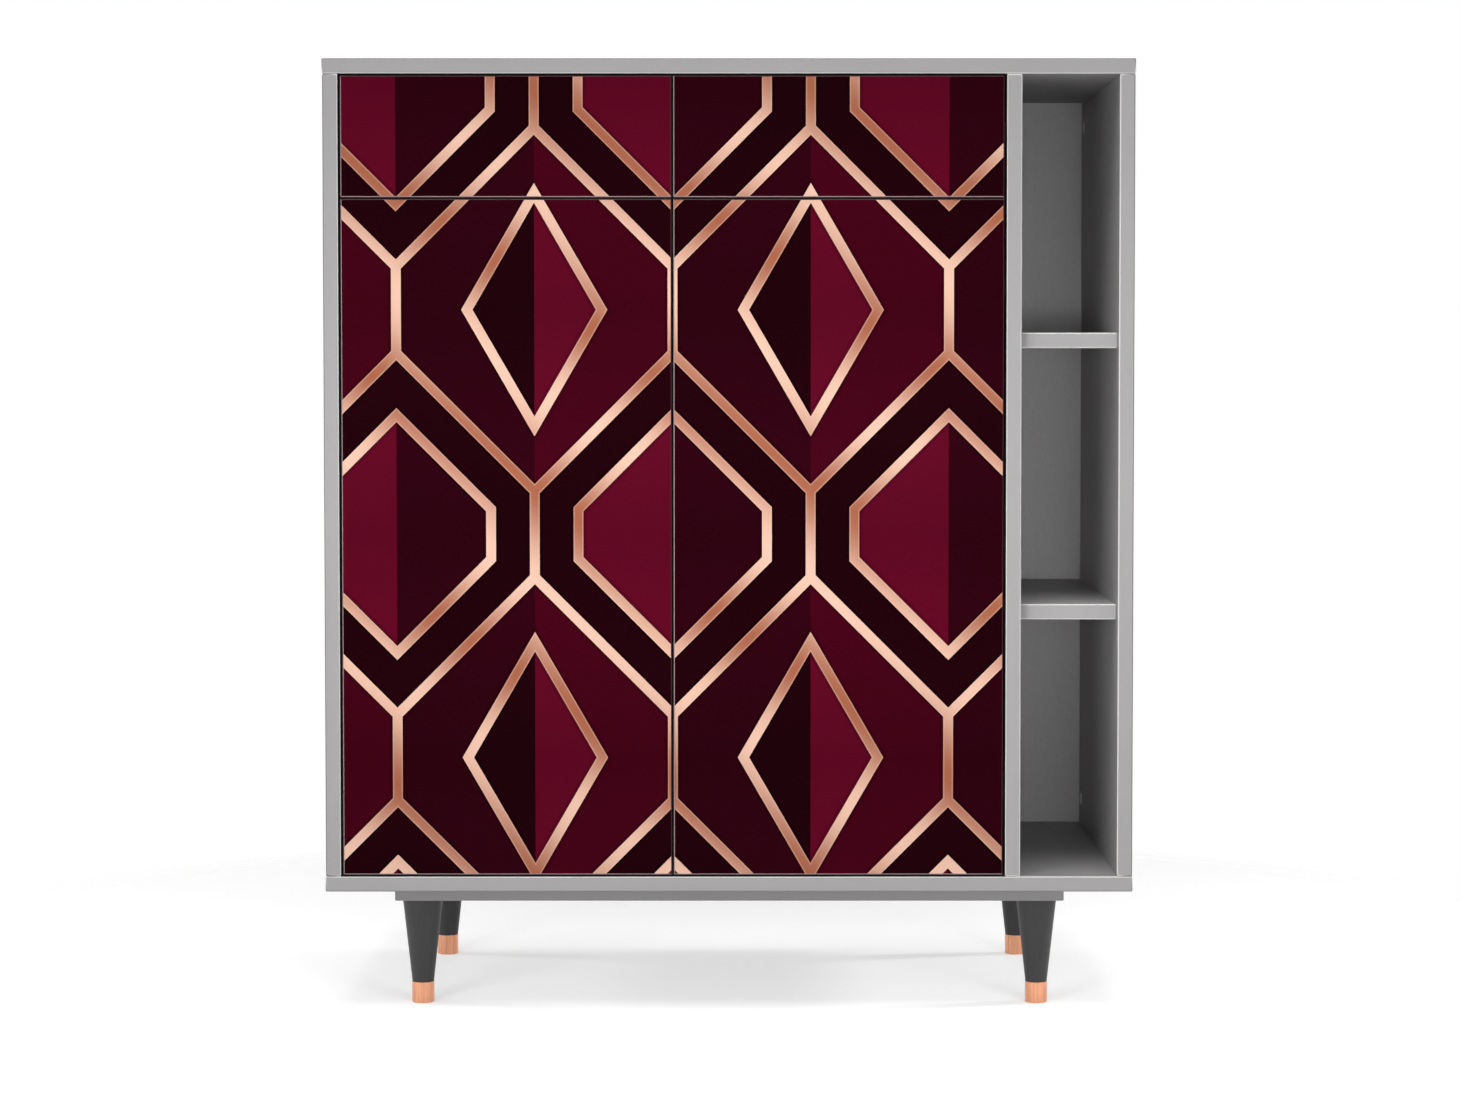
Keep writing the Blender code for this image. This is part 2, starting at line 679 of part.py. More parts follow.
def build():
    """Makes the whole sideboard."""
    right_side = add_carcass()
    add_niche_shelves()
    add_cams(right_side)
    add_base()
    for word, side in (("left", -1), ("right", 1)):
        add_inner_boards(word, side)
        add_door(word, side)
        add_latch(word, side)
        add_drawer(word, side)
    bpy.context.view_layer.update()


build()
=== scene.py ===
# Looks of the sideboard: rounded boards, printed glass fronts, legs, fittings, studio and camera.
import math

import bpy
import numpy as np
from bpy.props import FloatProperty, FloatVectorProperty, IntProperty, PointerProperty
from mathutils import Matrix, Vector


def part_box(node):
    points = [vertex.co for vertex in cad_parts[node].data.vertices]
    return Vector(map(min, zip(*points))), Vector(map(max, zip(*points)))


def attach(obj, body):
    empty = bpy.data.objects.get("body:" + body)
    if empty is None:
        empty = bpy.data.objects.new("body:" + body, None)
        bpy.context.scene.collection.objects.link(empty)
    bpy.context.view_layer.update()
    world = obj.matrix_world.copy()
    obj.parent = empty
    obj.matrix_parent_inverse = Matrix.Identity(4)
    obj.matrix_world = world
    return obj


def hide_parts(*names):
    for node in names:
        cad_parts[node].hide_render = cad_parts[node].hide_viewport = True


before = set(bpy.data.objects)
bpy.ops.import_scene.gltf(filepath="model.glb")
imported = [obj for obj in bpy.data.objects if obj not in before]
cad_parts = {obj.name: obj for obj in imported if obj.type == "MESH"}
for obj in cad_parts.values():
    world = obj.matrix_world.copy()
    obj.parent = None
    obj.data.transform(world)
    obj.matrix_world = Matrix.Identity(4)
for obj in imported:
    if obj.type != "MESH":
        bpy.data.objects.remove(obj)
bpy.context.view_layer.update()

bl_info = {
    "name": "Sideboard Looks",
    "version": (1, 0, 0),
    "blender": (4, 5, 0),
    "location": "3D View > Sidebar > Sideboard",
    "description": "Dresses the packed sideboard: boards, printed fronts, fittings and studio",
    "category": "Object",
}

X, Y, Z = 0, 1, 2
UP = (0, 0, 1)
DOORS = ("left_door", "right_door")
DRAWERS = ("left_drawer", "right_drawer")
SIDES = ("left", "right")
LEVELS = ("lower", "upper")
CORNERS = [f"{row}_{side}" for row in ("front", "rear") for side in SIDES]

# Which way is inward along X, at the left and at the right
INWARD = (1, -1)

# Faces that meet at less than this angle are shaded as one
SMOOTH_BELOW = math.radians(38)

# An outline's corners are rounded a little more than its ends, so that no face shrinks to nothing
CORNER_SHARE = 1.15

# A screw head's spokes and rings, and its cross recess as shares of the head's radius
SCREW_SPOKES, SCREW_RINGS = 48, 12
RECESS_DEPTH, RECESS_HALF_WIDTH, RECESS_REACH = 0.34, 0.13, 0.55

# Facets round a shelf pin
PIN_STEPS = 24

# The noise values over which a finish's tone and its roughness go from one end to the other
TONE_SPAN, ROUGH_SPAN = (0.3, 0.7), (0.2, 0.8)

# How far the roughness of a laminate, lacquer or metal swings to each side of its mean
ROUGH_SWING = 0.04

FLOOR_RINGS, FLOOR_SPOKES, FLOOR_ROUGHNESS = 24, 96, 0.9

# Reflections darken over these parts of a unit direction: towards the camera, and to both sides
FRONT_FADE, SIDE_FADE = (-0.97, -0.6), (0.45, 0.98)

# Each lamp's name, place, the point that it looks at, its width and height, its power's setting and
# what that is divided by, and its beam's setting, if it has one
LAMPS = (
    ("low_left", (-1.3, -2.5, 0.6), (-0.3, -0.1, 0), (0.9, 0.2), "low_power", 1, None),
    ("low_right", (1.3, -2.5, 0.6), (0.3, -0.1, 0), (0.9, 0.2), "low_power", 1, None),
    ("key", (-1.2, -3.0, 0.65), (0.1, -0.2, 0.65), (1.6, 0.6), "key_power", 1, "beam"),
    ("fill", (0.1, -3.6, 0.65), (0.02, -0.2, 0.65), (2.6, 0.4), "fill_power", 1, "beam"),
    ("left_side", (-3.0, 0.6, 1.2), (-0.47, 0, 0.6), (0.3, 0.3), "side_power", 2, "side_beam"),
    ("right_side", (3.0, 0.6, 1.2), (0.47, 0, 0.6), (0.3, 0.3), "side_power", 1, "side_beam"),
    ("behind", (0, 3.2, 1.4), (0, 0.24, 0.7), (1.6, 1.0), "side_power", 3, "beam"),
    ("top", (0, -1.2, 3.2), (0, -0.2, 0), (2.0, 1.6), "top_power", 1, None),
)

SENSOR_WIDTH = 36.0


# Settings

def size(name, description, default):
    """A length, in metres."""
    return FloatProperty(
        name=name, description=description, default=default, unit="LENGTH", precision=4
    )


def count(name, description, default, least):
    """A whole number."""
    return IntProperty(name=name, description=description, default=default, min=least)


def colour(name, description, default):
    """A linear colour."""
    return FloatVectorProperty(
        name=name, description=description, default=default, subtype="COLOR", size=3, min=0, max=1
    )


def share(name, description, default):
    """A plain number from 0 to 1."""
    return FloatProperty(
        name=name, description=description, default=default, subtype="FACTOR", min=0, max=1
    )


def degrees(name, description, default):
    """An angle, given in degrees and kept in radians."""
    return FloatProperty(
        name=name, description=description, default=math.radians(default), subtype="ANGLE"
    )


def wattage(name, description, default):
    """The power of a lamp, in watts."""
    return FloatProperty(name=name, description=description, default=default, unit="POWER", min=0)


class SideboardForms(bpy.types.PropertyGroup):
    """Small sizes of the forms, which the fixed frame doesn't give."""

    edge: size("Board edge", "Radius that board edges are rounded to", 0.0014)
    thin_edge: size("Thin edge", "Radius on leaves, drawer boards and thin plates", 0.0005)
    glass_edge: size("Glass edge", "Radius of the polished edge round each glass facing", 0.0012)
    groove_depth: size("Back groove", "Depth of the groove that holds the back panel", 0.006)
    # Painted shadow: how far back the near-black band in the fronts' gaps reaches
    dark_depth: size("Dark depth", "How far the dark band round the fronts reaches back", 0.010)
    groove_play: size("Groove play", "Room on each side of a panel in its groove", 0.0003)
    drawer_groove: size("Drawer groove", "Depth of the groove for a drawer's bottom", 0.005)
    taper_round: size("Leg rounding", "Radius round the top of each leg", 0.0012)
    ferrule_round: size("Ferrule rounding", "Radius at the foot of each copper ferrule", 0.0010)
    ferrule_step: size("Ferrule step", "How far a ferrule stands out from its leg", 0.0005)
    ferrule_wall: size("Ferrule wall", "Thickness of a ferrule's wall", 0.0010)
    ferrule_play: size("Ferrule play", "Room between a leg's foot and its ferrule", 0.0005)
    screw: size("Screw head", "Radius of the small countersunk screw heads", 0.0036)
    screw_rise: size("Screw dome", "How far a screw head domes up", 0.0006)
    screw_sink: size("Screw depth", "How far a screw head goes on below its seat", 0.0013)
    ear_width: size("Ear width", "Width of the two ears that hold a hinge cup", 0.015)
    ear_reach: size("Ear reach", "How far an ear reaches past its cup", 0.0125)
    ear_round: size("Ear rounding", "Radius of an ear's corners", 0.0045)
    plate: size("Hinge plate", "Thickness of a hinge's plate on the wall", 0.0033)
    plate_screws: size("Plate screws", "From a hinge's middle to the screws of its plate", 0.0115)
    plate_screw_place: size("Plate screw place", "From an arm's back end to those", 0.022)
    adjuster: size("Adjuster", "Radius of the screw that sets a hinge's arm", 0.00432)
    adjuster_place: size("Adjuster place", "From an arm's back end to that screw", 0.010)
    cup_rim: size("Cup rim", "How much wider a hinge cup's rim is than its hole", 0.0025)
    pin: size("Shelf pin", "Radius of the pins under the cupboard shelves", 0.0025)
    pin_out: size("Pin reach", "How far a pin reaches under its shelf", 0.008)
    pin_in: size("Pin root", "How far a pin goes into the board", 0.006)
    pin_front: size("Front pins", "From a shelf's front to its front pins", 0.050)
    pin_rear: size("Rear pins", "From a shelf's back to its rear pins", 0.060)
    runner_screw: size("Runner screw", "Radius of the screws that hold a runner", 0.0030)
    runner_screw_rise: size("Runner screw dome", "How far those screws dome up", 0.0002)
    runner_screw_place: size("Runner screw place", "From a runner's end to its screw", 0.035)
    runner_web: size("Runner web", "Thickness of a runner channel's web", 0.0012)
    cover_round: size("Cover rounding", "Radius round each cam cover", 0.0003)
    cover_wall: size("Cover wall", "Width of the rim round each cam cover", 0.0009)
    cover_dish: size("Cover dish", "How deep a cam cover is dished", 0.0022)
    round_steps: count("Edge steps", "Facets across each rounded edge", 4, 2)
    turn_steps: count("Turned steps", "Facets round each turned piece", 72, 12)


class SideboardFinishes(bpy.types.PropertyGroup):
    """Colours of the plain finishes, and the mean roughness of two of them."""

    board: colour("Board", "Satin grey laminate of the carcass", (0.390, 0.381, 0.384))
    # Painted highlight: pale colour on board edges that face an opening
    edge_band: colour("Edge band", "Board edges that face an opening", (0.760, 0.745, 0.745))
    # Painted shadow: near black in the fronts' gaps and on the front edges of the partition and
    # decks
    shadow_band: colour("Shadow band", "Board faces in the fronts' gaps", (0.030, 0.026, 0.026))
    # Painted shade: dark colour on the carcass's outer edges
    outer_edge: colour("Outer edge", "Outer edges of the carcass", (0.215, 0.210, 0.211))
    # Painted shade: darker than the carcass board, for the base board recessed under the carcass
    base: colour("Base board", "Board that the legs are fixed to", (0.275, 0.269, 0.271))
    # Painted light: paler than the carcass board, so that the niche's back renders brighter
    back: colour("Back panel", "Thin back panel", (0.700, 0.682, 0.690))
    drawer: colour("Drawer board", "Pale foil of the drawer boxes", (0.560, 0.552, 0.545))
    leaf: colour("Leaf", "Dark coated board behind the glass", (0.035, 0.030, 0.030))
    leg: colour("Leg lacquer", "Dark grey satin lacquer", (0.052, 0.050, 0.051))
    copper: colour("Copper", "Ferrules", (0.800, 0.372, 0.222))
    nickel: colour("Nickel", "Hinges, screws and shelf pins", (0.620, 0.610, 0.600))
    zinc: colour("Zinc", "Drawer runners", (0.500, 0.510, 0.520))
    plastic: colour("Plastic", "Push latches", (0.300, 0.300, 0.300))
    cover: colour("Cover", "Cam covers in the niche wall", (0.920, 0.915, 0.910))
    board_roughness: share("Board roughness", "Mean roughness of the laminate", 0.46)
    leg_roughness: share("Leg roughness", "Mean roughness of the lacquer", 0.48)


class SideboardPrint(bpy.types.PropertyGroup):
    """The print on the fronts: a trellis of tall six-sided cells with a figure nested in each."""

    cell_width: size("Cell width", "Distance between the upright ribs", 0.320)
    cell_height: size("Cell height", "Distance between rows of the same cells", 0.520)
    band: size("Band", "Width of the metallic bands", 0.0114)
    inset: size("Inset", "From a cell's rim to the ring nested in it", 0.045)
    lozenge_width: size("Lozenge width", "Half width of every second row's lozenge", 0.078)
    lozenge_height: size("Lozenge height", "Half height of that lozenge", 0.135)
    middle_height: size("Middle height", "Level of a row of ringed cells", 0.560)
    sheen_length: size("Sheen length", "Over which bands go from deep to light and back", 0.230)
    foil_edge: size("Foil edge", "Width of the paler line along both sides of a band", 0.0018)
    shade: size("Shade", "Width of the soft shade along each band", 0.005)
    shade_depth: share("Shade depth", "Share of its colour that a field keeps at a band", 0.6)
    field_fall: share("Field fall", "How much a field's colour falls and rises", 0.14)
    foil_share: share("Foil share", "How pale the line along both sides of a band is", 0.3)
    sheen_lean: share("Sheen lean", "How far the bands' sheen leans to the side", 0.7)
    darkest: colour("Darkest field", "Near-black plum", (0.0145, 0.0006, 0.0030))
    dark: colour("Dark field", "Dark plum", (0.0273, 0.0007, 0.0052))
    middle: colour("Middle field", "Burgundy", (0.0545, 0.0009, 0.0080))
    bright: colour("Bright field", "Bright burgundy", (0.1144, 0.0024, 0.0168))
    band_light: colour("Light band", "Rose gold in the light", (0.870, 0.552, 0.424))
    band_deep: colour("Deep band", "Rose gold in its own shade", (0.395, 0.130, 0.072))
    # Painted highlight on the glass edge at the left and below
    rim: colour("Rim", "Edge of the glass at the left and below", (0.360, 0.262, 0.262))
    # Painted shade on the glass edge elsewhere
    deep_rim: colour("Deep rim", "Edge of the glass elsewhere", (0.060, 0.020, 0.026))


class SideboardStudio(bpy.types.PropertyGroup):
    """Floor, lights and camera. The camera's values fit a frame of 1460 by 1096 pixels."""

    floor_radius: size("Floor radius", "Radius of the pale floor", 1.25)
    floor_fade: size("Floor fade", "Width of the rim over which the floor fades out", 0.15)
    floor: colour("Floor", "Pale floor", (0.77, 0.77, 0.77))
    floor_glow: share("Floor glow", "White that is added to the floor as it is seen", 0.39)
    ambient: share("Ambient", "Strength of the even light from all round", 0.380)
    lean: share("Lean", "How much stronger the even light is left, and weaker right", 0.25)
    behind_camera: share("Behind camera", "How bright reflections from there are", 0.04)
    at_sides: share("At the sides", "How bright reflections from left and right are", 0.30)
    key_power: wattage("Key", "Soft lamp at the left", 1.55)
    fill_power: wattage("Fill", "Wide lamp in front", 1.95)
    side_power: wattage("Sides", "Right lamp, which the left and rear ones follow", 5.4)
    low_power: wattage("Low", "Two low lamps in front that light only the floor", 36.0)
    top_power: wattage("Top", "Wide lamp overhead", 48.0)
    beam: degrees("Beam", "Spread of the lamps in front and behind", 30)
    side_beam: degrees("Side beam", "Spread of the lamps at both sides", 60)
    camera_place: FloatVectorProperty(
        name="Camera", description="Place of the camera", default=(0.0317, -4.2117, 0.7719),
        subtype="TRANSLATION",
    )
    camera_pitch: degrees("Pitch", "How far the camera looks down", 2.308)
    lens: FloatProperty(
        name="Lens", description="Focal length in millimetres", default=84.55, unit="CAMERA"
    )
    shift: FloatVectorProperty(
        name="Shift", description="Lens shift, across and up", default=(-0.018, -0.04), size=2
    )


def settings(name):
    """One of the scene's groups of settings."""
    return getattr(bpy.context.scene, f"sideboard_{name}")


# Shapes: each is its points, its faces, and for each point how far it lies on a rounded edge

def rounded(corners, radius, steps, closed=True):
    """A flat outline with its corners rounded, as points, outward normals and edge shares.

    At a corner that turns by a, each side is cut back by r tan(a/2). Between the cuts the outward
    normal n turns evenly, and the outline is start + sign(a) r (n - n at the start), which is an
    arc of radius r. The edge share is sin(pi t) along an arc, t from 0 to 1. On an open outline
    both ends stay as they are.
    """
    corners = np.asarray(corners, float)
    ahead = np.roll(corners, -1, axis=0) - corners
    ahead /= np.linalg.norm(ahead, axis=1, keepdims=True)
    came = np.roll(ahead, 1, axis=0)
    turn = np.arctan2(
        came[:, 0] * ahead[:, 1] - came[:, 1] * ahead[:, 0], (came * ahead).sum(axis=1)
    )
    radius = np.broadcast_to(np.asarray(radius, float), turn.shape)
    start = corners - came * (radius * np.tan(np.abs(turn) / 2))[:, None]
    part = np.linspace(0, 1, steps + 1)
    angle = np.arctan2(came[:, 1], came[:, 0])[:, None] + turn[:, None] * part
    normal = np.stack([np.sin(angle), -np.cos(angle)], axis=-1)
    points = start[:, None] + (np.sign(turn) * radius)[:, None, None] * (normal - normal[:, :1])
    worn = np.broadcast_to(np.sin(np.pi * part), angle.shape)
    if closed:
        return points.reshape(-1, 2), normal.reshape(-1, 2), worn.reshape(-1)
    inner = slice(1, -1)
    points = np.concatenate([corners[:1], points[inner].reshape(-1, 2), corners[-1:]])
    normal = np.concatenate([normal[1, :1], normal[inner].reshape(-1, 2), normal[-2, -1:]])
    return points, normal, np.concatenate([[0], worn[inner].reshape(-1), [0]])


def grid_faces(rows, columns):
    """Four-sided faces between neighbouring rows of points, each row a closed ring of columns."""
    row = np.arange(rows - 1)[:, None] * columns
    column = np.arange(columns)[None]
    after = (column + 1) % columns
    corners = [row + column, row + after, row + columns + after, row + columns + column]
    return np.stack(corners, axis=-1).reshape(-1, 4).tolist()


def bar(outline, ends, rounding, axes, steps):
    """A straight bar: a rounded outline carried along an axis, with its ends rounded and closed.

    For t from 0 to a quarter turn, the outline at each end is drawn in along its normals by
    r (1 - cos t) while it moves on by r sin t. axes names the outline's two axes and the bar's own.
    """
    points, normals, worn = outline
    low, high = ends
    first, last = rounding
    t = np.linspace(0, np.pi / 2, steps + 1)
    drawn = np.concatenate([first * (1 - np.cos(t))[::-1], last * (1 - np.cos(t))])
    along = np.concatenate([low + first * (1 - np.sin(t))[::-1], high - last * (1 - np.sin(t))])
    bend = np.concatenate([np.sin(2 * t)[::-1], np.sin(2 * t)])
    flat = points[None] - normals[None] * drawn[:, None, None]
    rows, columns = flat.shape[:2]
    placed = np.empty((rows, columns, 3))
    placed[..., axes[0]] = flat[..., 0]
    placed[..., axes[1]] = flat[..., 1]
    placed[..., axes[2]] = along[:, None]
    faces = grid_faces(rows, columns)
    faces.append(list(range(columns))[::-1])
    faces.append(list(range((rows - 1) * columns, rows * columns)))
    if (axes[1] - axes[0]) % 3 == 2:
        faces = [face[::-1] for face in faces]
    return placed.reshape(-1, 3), faces, np.maximum(worn[None], bend[:, None]).reshape(-1)


def box_outline(low, high, radius, steps, groove=None):
    """A rounded rectangle between two corners, with a groove let into a side if asked.

    groove is the second axis's side, low or high, where it starts and stops along the first axis,
    and its depth.
    """
    (a0, b0), (a1, b1) = low, high
    if groove is None:
        corners, radii = [(a0, b0), (a1, b0), (a1, b1), (a0, b1)], [radius] * 4
        return rounded(corners, radii, steps)
    side, g0, g1, depth = groove
    fine = min(radius, (g1 - g0) / 4)
    notch, plain = [radius, fine, fine, fine, fine, radius], [radius] * 2
    if side == "low":
        corners = [(a0, b0), (g0, b0), (g0, b0 + depth), (g1, b0 + depth), (g1, b0), (a1, b0)]
        return rounded(corners + [(a1, b1), (a0, b1)], notch + plain, steps)
    corners = [(a1, b1), (g1, b1), (g1, b1 - depth), (g0, b1 - depth), (g0, b1), (a0, b1)]
    return rounded([(a0, b0), (a1, b0)] + corners, plain + notch, steps)


def box_bar(low, high, axes, radius, steps, groove=None):
    """A rounded block between two corners, as a bar along the last of the axes."""
    flat = [(corner[axes[0]], corner[axes[1]]) for corner in (low, high)]
    outline = box_outline(*flat, radius * CORNER_SHARE, steps, groove)
    return bar(outline, (low[axes[2]], high[axes[2]]), (radius, radius), axes, steps)


def basis(direction):
    """Three unit vectors, right-handed, of which the last is the direction."""
    ahead = np.asarray(direction, float) / np.linalg.norm(direction)
    spare = np.eye(3)[np.argmin(np.abs(ahead))]
    side = np.cross(spare, ahead)
    side /= np.linalg.norm(side)
    return np.stack([side, np.cross(ahead, side), ahead])


def turned(profile, place, direction, steps):
    """A turned piece: a profile of radius and height, from the axis round to the axis, swept round.

    Point (i, j) is radius_i (cos a_j, sin a_j) across and height_i along, with a_j over a full
    turn. The first and last points are single, and triangles close the piece round them.
    """
    points, _, worn = profile
    radius, height = points[1:-1, 0], points[1:-1, 1]
    angle = np.linspace(0, 2 * np.pi, steps, endpoint=False)
    across = np.stack([np.cos(angle), np.sin(angle)], axis=-1)
    rings = np.empty((len(radius), steps, 3))
    rings[..., :2] = radius[:, None, None] * across[None]
    rings[..., 2] = height[:, None]
    poles = np.array([[0, 0, points[0, 1]], [0, 0, points[-1, 1]]])
    local = np.concatenate([rings.reshape(-1, 3), poles])
    faces = grid_faces(len(radius), steps)
    ring = np.arange(steps)
    after = (ring + 1) % steps
    start, stop = len(local) - 2, len(local) - 1
    top = (len(radius) - 1) * steps
    faces += np.stack([np.full(steps, start), after, ring], axis=-1).tolist()
    faces += np.stack([np.full(steps, stop), top + ring, top + after], axis=-1).tolist()
    edges = np.concatenate([np.repeat(worn[1:-1], steps), [0, 0]])
    return np.asarray(place) + local @ basis(direction), faces, edges


def spun(profile, place, direction, steps=None):
    """A turned piece. Each corner of its profile is a radius, a height and its own rounding."""
    forms = settings("forms")
    corners = np.array(profile, float)
    outline = rounded(corners[:, :2], corners[:, 2], forms.round_steps, closed=False)
    return turned(outline, place, direction, steps or forms.turn_steps)


def screw_head(place, direction, radius, rise, sink):
    """A screw head with a cross recess: a height over rings and spokes.

    The height is rise (1 - (r/R)^4), less the recess. Off the middle of an arm the recess is full
    to 0.6 half widths and gone at 1.6, and it runs out over the last quarter of the arm's reach.
    A wall goes down by sink, and a flat end closes it.
    """
    spokes, rings = SCREW_SPOKES, SCREW_RINGS
    angle = np.linspace(0, 2 * np.pi, spokes, endpoint=False)
    r = radius * np.linspace(1, 0, rings + 1)[:-1]
    x = r[:, None] * np.cos(angle)
    y = r[:, None] * np.sin(angle)
    arm = np.minimum(np.abs(x), np.abs(y)) / (RECESS_HALF_WIDTH * radius)
    reach = np.maximum(np.abs(x), np.abs(y)) / (RECESS_REACH * radius)
    cut = np.clip(1.6 - arm, 0, 1) * np.clip((1 - reach) * 4, 0, 1)
    depth = RECESS_DEPTH * radius
    height = rise * (1 - (r[:, None] / radius) ** 4) - depth * cut
    height[0] = 0
    points = np.stack([x, y, height], axis=-1)
    foot = points[:1] * [1, 1, 0] - [0, 0, sink]
    local = np.concatenate([foot, points]).reshape(-1, 3)
    ring = np.arange(spokes)
    top = rings * spokes
    faces = grid_faces(rings + 1, spokes)
    faces.append(ring[::-1].tolist())
    apex = np.full(spokes, len(local))
    faces += np.stack([apex, top + ring, top + (ring + 1) % spokes], axis=-1).tolist()
    local = np.concatenate([local, [[0, 0, rise - depth]]])
    return np.asarray(place) + local @ basis(direction), faces, np.zeros(len(local))


def together(shapes):
    """Several shapes as one."""
    points, faces, worn = [], [], []
    made = 0
    for some, sides, edge in shapes:
        points.append(some)
        worn.append(edge)
        faces += [[made + i for i in face] for face in sides]
        made += len(some)
    return np.concatenate(points), faces, np.concatenate(worn)


# Objects

def box(node):
    """Lowest and highest corners of a node of the frame, as arrays."""
    low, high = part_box(node)
    return np.array(low), np.array(high)


def put_in_scene(name, data):
    """A new object of a mesh, lamp or camera, at the origin of the scene."""
    made = bpy.data.objects.new(name, data)
    bpy.context.scene.collection.objects.link(made)
    return made


def mark(mesh, name, values):
    """Keeps one number for each point with a mesh, as an attribute."""
    kept_as = mesh.attributes.new(name, "FLOAT", "POINT")
    kept_as.data.foreach_set("value", values.astype(np.float32))


def new_object(name, shape):
    """An object of a shape, with its edge shares kept in the attribute edge."""
    points, faces, worn = shape
    mesh = bpy.data.meshes.new(name)
    mesh.from_pydata(points.tolist(), [], faces)
    mark(mesh, "edge", worn)
    mesh.polygons.foreach_set("use_smooth", np.ones(len(mesh.polygons), bool))
    mesh.set_sharp_from_angle(angle=SMOOTH_BELOW)
    mesh.update()
    return put_in_scene(name, mesh)


def hollowed(made, cutters):
    """Cuts shapes from an object, and keeps the result as its mesh."""
    holes = [new_object("cutter", shape) for shape in cutters]
    for hole in holes:
        cut = made.modifiers.new("cut", "BOOLEAN")
        cut.operation = "DIFFERENCE"
        cut.solver = "EXACT"
        cut.object = hole
    graph = bpy.context.evaluated_depsgraph_get()
    result = bpy.data.meshes.new_from_object(made.evaluated_get(graph))
    result.set_sharp_from_angle(angle=SMOOTH_BELOW)
    made.modifiers.clear()
    made.data = result
    for hole in holes:
        bpy.data.objects.remove(hole, do_unlink=True)


def add_piece(name, shape, body, finish, stands_for=(), cutters=()):
    """A piece of the object, riding on its body, with its finish and the nodes it stands for."""
    made = new_object(name, shape)
    if cutters:
        hollowed(made, cutters)
    made.data.materials.append(finish())
    even = made.modifiers.new("even_shading", "WEIGHTED_NORMAL")
    even.keep_sharp = True
    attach(made, body)
    if stands_for:
        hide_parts(*stands_for)
    return made


def refinish(node, finish):
    """Gives a node of the frame, whose shape stays, a finish."""
    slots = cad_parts[node].data.materials
    slots.clear()
    slots.append(finish())


# Finishes

class Nodes:
    """A node tree in the making. A node's output may stand wherever a value is asked for."""

    def __init__(self, owner):
        owner.use_nodes = True
        self.tree = owner.node_tree

    def add(self, kind, values=None, **options):
        node = self.tree.nodes.new(kind)
        for key, value in options.items():
            setattr(node, key, value)
        for key, value in (values or {}).items():
            self.feed(node.inputs[key], value)
        return node

    def feed(self, socket, value):
        if isinstance(value, bpy.types.NodeSocket):
            self.tree.links.new(value, socket)
        elif socket.type == "RGBA" and len(value) == 3:
            socket.default_value = (*value, 1.0)
        else:
            socket.default_value = value

    def math(self, operation, *values):
        return self.add("ShaderNodeMath", dict(enumerate(values)), operation=operation).outputs[0]

    def mix(self, part, first, second):
        """The first colour where part is 0 and the second where it is 1."""
        values = {0: part, 6: first, 7: second}
        return self.add("ShaderNodeMix", values, data_type="RGBA").outputs[2]

    def choose(self, part, first, second):
        """The first number where part is 0 and the second where it is 1."""
        values = {0: part, 2: first, 3: second}
        return self.add("ShaderNodeMix", values, data_type="FLOAT").outputs[0]

    def spread(self, value, start, stop, low=0, high=1, **options):
        """A number carried from one range to another, held at the ends."""
        ends = {"From Min": start, "From Max": stop, "To Min": low, "To Max": high}
        return self.add("ShaderNodeMapRange", {"Value": value, **ends}, **options).outputs["Result"]

    def within(self, value, low, high):
        """1 where a value lies between two bounds, and 0 elsewhere."""
        return self.math("COMPARE", value, (low + high) / 2, (high - low) / 2)

    def split(self, vector):
        """A vector's three numbers."""
        return self.add("ShaderNodeSeparateXYZ", {"Vector": vector}).outputs

    def seen_rays(self):
        """The light paths, and 1 on rays that see the background, straight or by metal or glass."""
        path = self.add("ShaderNodeLightPath").outputs
        seen = self.math("MAXIMUM", path["Is Camera Ray"], path["Is Glossy Ray"])
        return path, self.math("MAXIMUM", seen, path["Is Transmission Ray"])


class Finish(Nodes):
    """A material in the making, over its piece's own coordinates."""

    made = {}

    def __init__(self, name):
        self.material = bpy.data.materials.new(name)
        super().__init__(self.material)
        self.shader = self.tree.nodes["Principled BSDF"]
        self.place = self.add("ShaderNodeTexCoord").outputs["Object"]

    def noise(self, scale, detail, stretch=(1, 1, 1)):
        """Soft noise of so many grains a metre, drawn out where its stretch is under 1."""
        spot = self.add("ShaderNodeMapping", {"Vector": self.place, "Scale": stretch}).outputs[0]
        values = {"Vector": spot, "Scale": scale, "Detail": detail}
        return self.add("ShaderNodeTexNoise", values).outputs["Fac"]

    def number(self, name):
        """A number kept with the mesh, such as edge: how far a point lies on a rounded edge."""
        return self.add("ShaderNodeAttribute", attribute_name=name).outputs["Fac"]

    def bump(self, height, strength, distance):
        values = {"Height": height, "Strength": strength, "Distance": distance}
        return self.add("ShaderNodeBump", values).outputs["Normal"]

    def finish(self, base, roughness, normal=None, **fixed):
        """Feeds the shader. What is the same all over is set on its own sockets."""
        self.feed(self.shader.inputs["Base Color"], base)
        self.feed(self.shader.inputs["Roughness"], roughness)
        if normal is not None:
            self.feed(self.shader.inputs["Normal"], normal)
        for key, value in fixed.items():
            self.shader.inputs[key.replace("_", " ")].default_value = value
        return self.material


def kept(build):
    """Keeps one material of each finish, made when it is first asked for."""

    def ask():
        name = build.__name__
        if name not in Finish.made:
            Finish.made[name] = build(Finish(name))
        return Finish.made[name]

    return ask


def scaled(base, factor):
    """A colour made lighter or darker."""
    return tuple(min(1.0, value * factor) for value in base)


